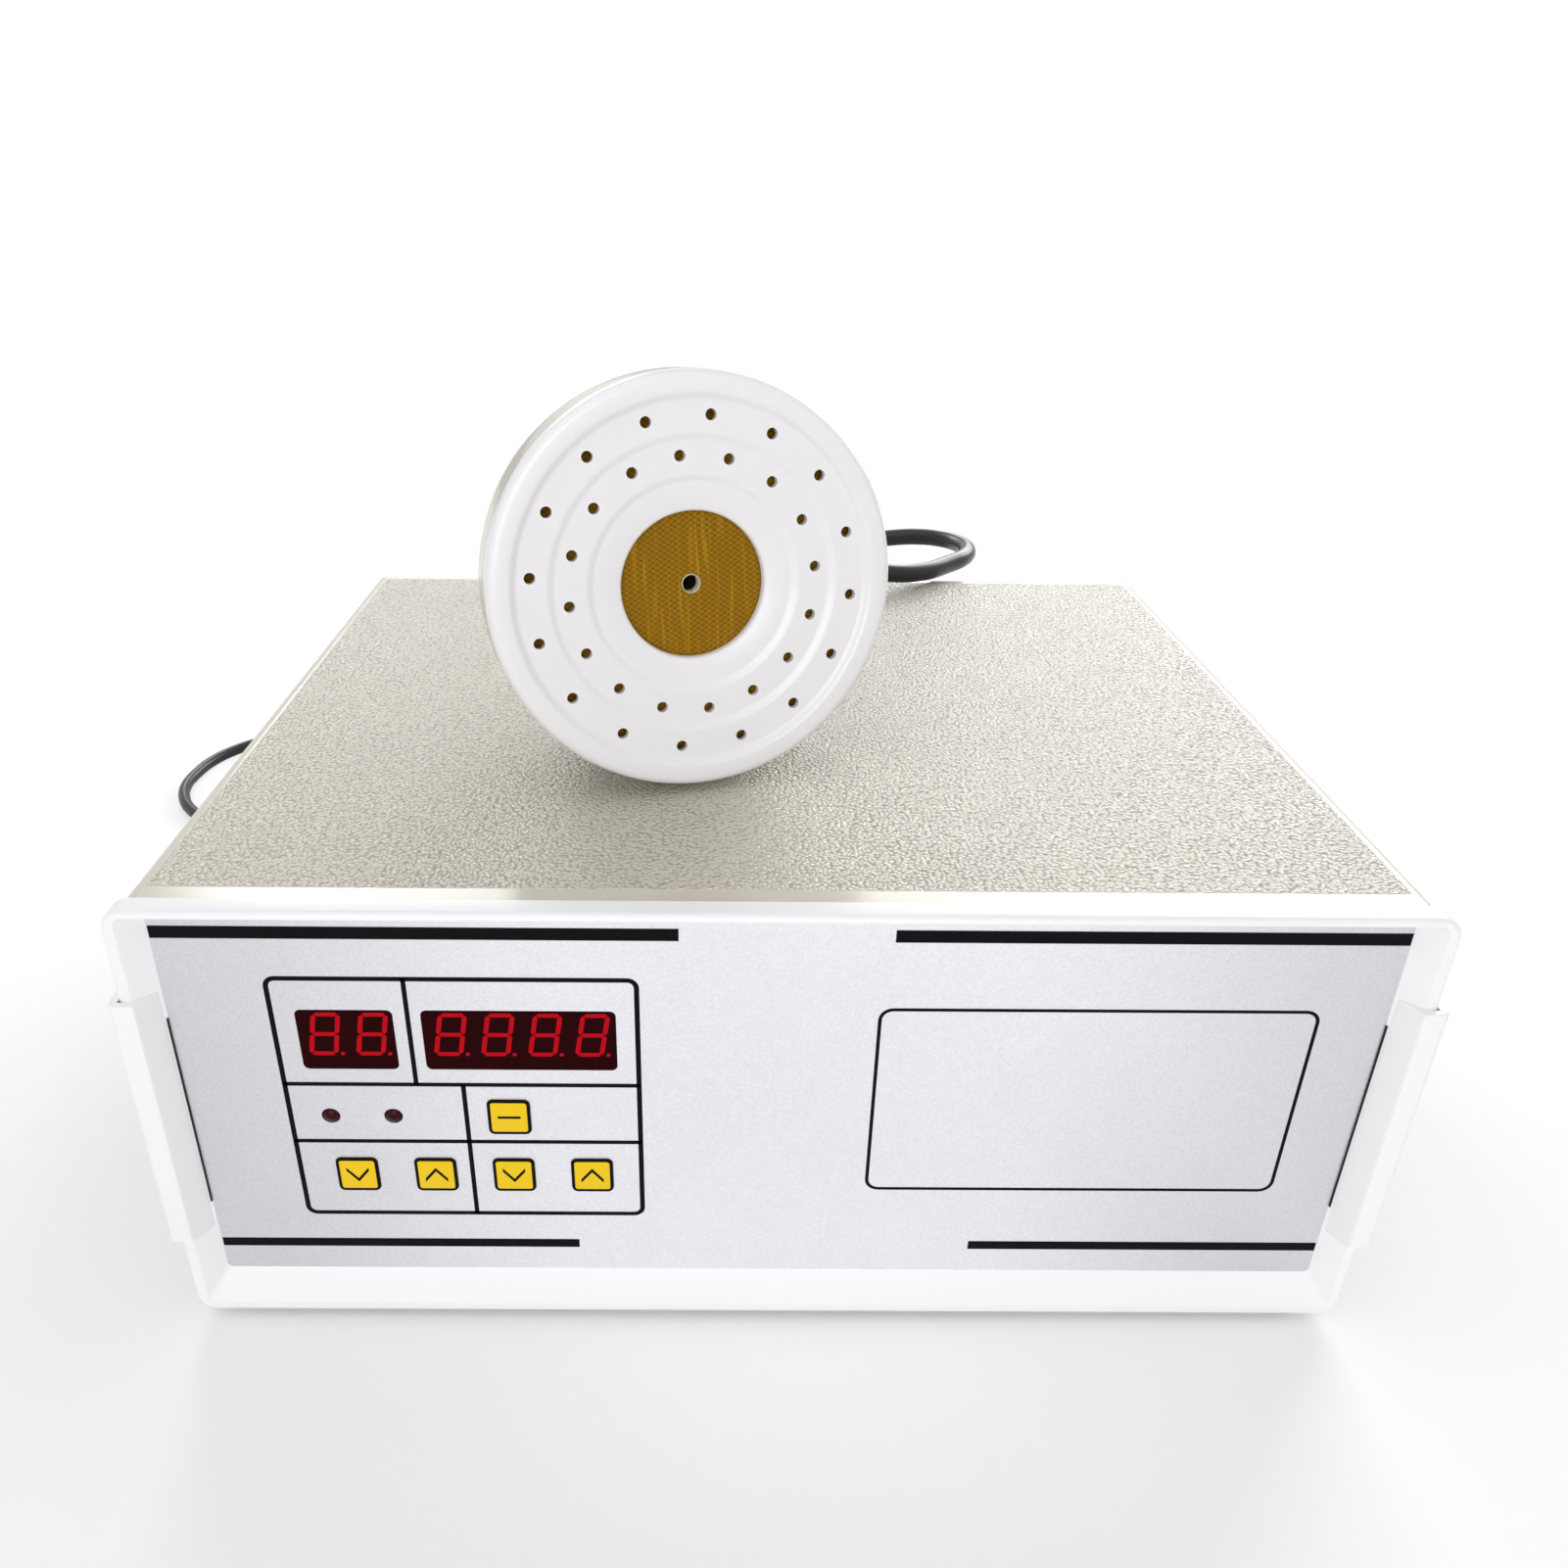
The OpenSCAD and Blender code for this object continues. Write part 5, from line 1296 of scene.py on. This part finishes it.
    def lamp(self, node: str, x: float) -> None:
        """Builds one domed lamp.

        Args:
            node: The CAD lamp that it stands for.
            x: Middle across the panel.
        """
        radius, middle = self.dome
        neck, seat, end = self.lamp_levels
        dome = [(max(r, 0.0), z) for r, z in arc((0.0, middle), radius, 90, 33.6, 8)]
        stem = [(self.lamp_radius, neck), (self.lamp_radius, seat), (self.lamp_flange, seat)]
        profile = [*dome, *stem, (self.lamp_flange, end), (0.0, end)]
        shape = Shape()
        shape.lathe([(r * MM, z * MM) for r, z in profile], 40)
        at = Matrix.Translation((x * MM, PANEL_Y, PANEL_LOW + self.lamp_z * MM))
        shape.place(at @ Matrix.Rotation(QUARTER, 4, "X"))
        shape.make(node + "_dome", LENS, replaces=(node,))


# Sealing head


@dataclass
class SealingHead:
    """The round head: dished face, board, vented cup and start button."""

    radius: float = 59.0 * MM
    skirt: float = 6.0 * MM
    wall: float = 2.2 * MM
    lip: float = 2.5 * MM
    step: float = 1.0 * MM
    step_radii: Point = (0.88, 0.7, 0.51)
    step_reach: float = 1.5 * MM
    plate: float = 2.0 * MM
    opening: float = 21.0 * MM
    band: float = 20.0 * MM
    body: float = 42.0 * MM
    shoulder: float = 9.0 * MM
    neck: float = 14.1 * MM
    neck_end: float = 60.0 * MM
    flange: Flat = (2.5 * MM, 3.0 * MM)
    edge: float = 0.4 * MM
    band_blend: Flat = (0.1 * MM, 0.6 * MM)
    slots: int = 12
    slot_turn: float = 15.0
    slot_lean: float = 45.0
    slot_size: Point = (3.0 * MM, 9.0 * MM, 14.0 * MM)
    rows: tuple[Flat, ...] = ((47.1, -15.2), (36.3, -4.7))
    row_holes: int = 16
    sway: tuple[Flat, ...] = ((1.0, 0.0), (0.55, 0.08), (0.2, 0.33), (-0.2, 0.67), (-0.55, 0.92), (-1.0, 1.0))
    hole: float = 1.6 * MM
    hole_reach: Flat = (5.0 * MM, 14.0 * MM)
    eyelet_level: float = 6.9
    eyelet_outline: tuple[Flat, ...] = ((2.8, 4.0), (2.8, -0.1), (2.65, -0.25), (2.5, 0.0), (2.5, 4.0))
    button_at: float = 70.0 * MM
    button_radius: float = 6.0
    button_levels: Flat = (11.5, 20.5)
    button_dish: tuple[Flat, ...] = ((0.0, -0.5), (3.6, -0.15), (4.8, 0.0))

    def build(self) -> None:
        """Builds the head's new pieces."""
        self.face()
        self.eyelet()
        self.cup()
        self.button()

    def face(self) -> None:
        """Builds the face plate: a spun, stepped dish with two rows of holes."""
        r, s, t = self.radius, self.step, self.plate
        front = 0.6 * self.lip
        steps = [share * r for share in self.step_radii]
        profile = [(r, self.skirt), *arc((r - self.lip, self.lip), self.lip, 0, -90, 8)]
        for at, level, drop in zip(steps, (0.0, front, front + s), (front, s, s)):
            profile += [(at + self.step_reach * side, level + drop * share) for side, share in self.sway]
        base, inner, rear = front + 2 * s, self.opening, front + t
        profile += [(inner + s, base), (inner + 0.3 * s, base + 0.4 * s), (inner, base + s)]
        profile += [(inner, base + s + t), (steps[2] - t, base + s + t), (steps[1] - t, rear + s)]
        profile += [(steps[0] - t, rear), (r - self.wall, rear), (r - self.wall, self.skirt)]
        shape = Shape()
        shape.lathe(profile, 160, closed=True)
        shape.place(LAID_DOWN)
        piece = shape.make("face_dish", FACE, replaces=("face_plate",))
        holes = Shape()
        level, depth = self.hole_reach
        for row, turn in self.rows:
            for i in range(self.row_holes):
                angle = math.radians(turn - 360 * i / self.row_holes)
                at = Matrix.Rotation(angle, 4, "Z") @ Matrix.Translation((row * MM, 0.0, level))
                bmesh.ops.create_cone(
                    holes.bm, cap_ends=True, segments=20, radius1=self.hole, radius2=self.hole,
                    depth=depth, matrix=LAID_DOWN @ at,
                )
        cut(piece, holes)

    def eyelet(self) -> None:
        """Builds the pale rim of the hole in the middle of the board."""
        outline = [(r * MM, (self.eyelet_level + z) * MM) for r, z in self.eyelet_outline]
        shape = Shape()
        shape.lathe(outline, 40, closed=True)
        shape.place(LAID_DOWN)
        shape.make("board_eyelet", EYELET)

    def cup(self) -> None:
        """Builds the cup: a smooth band, a tapered body and a shoulder with vent slots."""
        end_r = self.radius - (self.body - self.band) * math.tan(HEAD_TAPER)
        start, edge = self.skirt + 0.1 * MM, self.edge
        inset, blend = self.band_blend
        shoulder = (end_r - self.shoulder, self.body)
        rim, ledge = self.neck + self.flange[0], self.neck_end - self.flange[1]
        outside = [
            (self.radius - edge, start), (self.radius, start + edge), (self.radius, self.band - blend),
            (self.radius - inset, self.band + blend), (end_r, self.body),
            *arc(shoulder, self.shoulder, 12, 90, 8), (self.neck, self.body + self.shoulder),
            (self.neck, ledge), (rim, ledge), (rim, self.neck_end),
        ]
        bore, inner, well = self.neck - self.wall, self.shoulder - self.wall, self.radius - self.wall
        inside = [
            (bore, self.neck_end), (bore, self.body + inner), *arc(shoulder, inner, 90, 0, 6),
            (well, self.band), (well, start),
        ]
        shape = Shape()
        shape.lathe(outside + inside, 144, closed=True)
        shape.place(LAID_DOWN)
        # The cup's darker ivory is painted shade.
        piece = shape.make("cup_shell", HEAD_PAINTED_SHADE, replaces=("head_cup",))
        vents = Shape()
        for i in range(self.slots):
            turn = Matrix.Rotation(math.radians(360 * i / self.slots + self.slot_turn), 4, "Z")
            move = Matrix.Translation((end_r - 0.3 * self.shoulder, 0.0, self.body + self.shoulder))
            lean = Matrix.Rotation(math.radians(self.slot_lean), 4, "Y")
            size = Matrix.Diagonal((*self.slot_size, 1.0))
            bmesh.ops.create_cube(vents.bm, size=1.0, matrix=LAID_DOWN @ turn @ move @ lean @ size)
        cut(piece, vents)

    def button(self) -> None:
        """Builds the start button with a rounded, slightly dished top."""
        r, edge, flange = self.button_radius, 1.0, 1.2
        low, top = self.button_levels
        profile = [
            *[(at, top + z) for at, z in self.button_dish], *arc((r - edge, top - edge), edge, 75, 0, 5),
            (r, low + edge), (r + flange, low + edge), (r + flange, low), (0.0, low),
        ]
        shape = Shape()
        shape.lathe([(at * MM, z * MM) for at, z in profile], 48)
        up = Matrix.Translation((0, 0, self.button_at)) @ Matrix.Rotation(QUARTER, 4, "X")
        shape.place(LAID_DOWN @ up)
        shape.make("start_button_cap", BLACK, "start_button", replaces=("start_button",))


# Finishes of the nodes that keep their own solids

CARRIED: dict[Finish, str] = {
    CASE: "lower_shell upper_shell",
    FILM: "front_panel",
    WINDOW: "time_window count_window",
    DISPLAY: "time_display count_display",
    LACQUER: "control_board power_board",
    BLACK: (
        "key_switches switch_housing fuse_holder fuse_cap fan_frame fan_rotor power_transistors "
        "head_lead_gland power_cord_gland start_switch power_plug"
    ),
    BRASS: "board_standoffs",
    COAT: "rear_panel",
    ROCKER: "power_rocker",
    CHROME: "fan_guard",
    ZINC: "fan_screws case_screws bezel_screws handle_screws",
    SINK: "heat_sink",
    IRON: "transformer_core",
    COPPER: "transformer_winding induction_coil",
    SLEEVE: "filter_capacitors",
    FILM_CAP: "resonance_capacitor",
    RUBBER: "feet",
    BOARD: "coil_board",
    FERRITE: "ferrite_bars",
    # Painted shade: the handles take the head's darker ivory.
    HEAD_PAINTED_SHADE: "handle_left handle_right",
    SHEATH: "lead_sleeve",
}


def dress(nodes: dict[str, Piece]) -> None:
    """Gives every node that stays its finish.

    Args:
        nodes: The CAD nodes by name.
    """
    for finish, names in CARRIED.items():
        for name in names.split():
            nodes[name].data.materials.clear()
            nodes[name].data.materials.append(finish.material())
            LOG.info("%s: %s", name, finish.name)


# Stage


@dataclass
class Stage:
    """Pale floor, white surroundings and soft studio lamps."""

    floor_size: float = 12.0
    floor_colour: Colour = (0.95, 0.95, 0.95)
    fade: Flat = (0.2, 0.46)
    fill: float = 0.46

    def build(self) -> None:
        """Builds the floor, the world and the lamps."""
        self.floor()
        self.world()
        self.lamp("window_light", (0.85, 1.5, 0.9), (0.05, 0.0, 0.15), (1.4, 0.8), 22.0)
        self.lamp("corner_light", (-0.6, 1.4, 0.9), (-0.1, 0.0, 0.15), (0.55, 0.45), 6.0)
        self.lamp("top_light", (-0.4, -0.3, 1.7), (0.0, 0.0, 0.1), (1.4, 1.4), 6.0)
        self.lamp("front_light", (-0.15, -2.0, 0.8), (0.0, -0.1, 0.1), (1.6, 1.2), 18.0)

    def floor(self) -> None:
        """Lays the floor."""
        shape = Shape()
        bmesh.ops.create_grid(shape.bm, x_segments=1, y_segments=1, size=self.floor_size / 2)
        mesh = shape.to_mesh("floor")
        material = bpy.data.materials.new("pale_floor")
        material.use_nodes = True
        tree = Tree(material.node_tree)
        shader = material.node_tree.nodes["Principled BSDF"]
        shader.inputs["Base Color"].default_value = (*self.floor_colour, 1.0)
        shader.inputs["Roughness"].default_value = 0.9
        place = tree.add("ShaderNodeTexCoord").outputs["Object"]
        away = tree.tree.nodes.new("ShaderNodeVectorMath")
        away.operation = "LENGTH"
        tree.feed(away.inputs[0], place)
        laid = tree.ramp(away.outputs["Value"], *self.fade, 1.0, 0.0)
        path = tree.add("ShaderNodeLightPath")
        unseen = tree.math("SUBTRACT", 1.0, path.outputs["Is Camera Ray"])
        tree.feed(shader.inputs["Alpha"], tree.math("MAXIMUM", laid, unseen))
        mesh.materials.append(material)
        add_object("floor", mesh)

    def world(self) -> None:
        """Makes the surroundings white to look at and dimmer as a light."""
        world = bpy.data.worlds.new("studio")
        world.use_nodes = True
        tree = Tree(world.node_tree)
        path = tree.add("ShaderNodeLightPath")
        seen = tree.math("MAXIMUM", path.outputs["Is Camera Ray"], path.outputs["Is Glossy Ray"])
        seen = tree.math("MAXIMUM", seen, path.outputs["Is Transmission Ray"])
        shade = world.node_tree.nodes["Background"]
        shade.inputs["Color"].default_value = (1.0, 1.0, 1.0, 1.0)
        tree.feed(shade.inputs["Strength"], tree.ramp(seen, 0.0, 1.0, self.fill, 1.0))
        bpy.context.scene.world = world

    def lamp(self, name: str, place: Point, target: Point, size: Flat, power: float) -> None:
        """Hangs a soft rectangular lamp.

        Args:
            name: The lamp's name.
            place: Where it hangs.
            target: What it points at.
            size: Width and height.
            power: Watts.
        """
        data = bpy.data.lights.new(name, "AREA")
        data.shape = "RECTANGLE"
        data.size, data.size_y = size
        data.energy = power
        lamp = add_object(name, data)
        lamp.location = place
        lamp.rotation_euler = (Vector(target) - Vector(place)).to_track_quat("-Z", "Y").to_euler()


def main() -> None:
    """Loads the frame and builds the pieces in order."""
    logging.basicConfig(level=logging.INFO, format="%(name)s %(message)s")
    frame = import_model()
    bpy.context.scene.view_settings.view_transform = "Standard"
    build_groups()
    PhotoCamera().build()
    for run in (head_lead(), power_cord()):
        run.build(frame["nodes"])
    FrontFrame().build()
    ControlPanel().build()
    SealingHead().build()
    dress(frame["nodes"])
    Stage().build()
    bpy.context.view_layer.update()


if __name__ == "__main__":
    main()
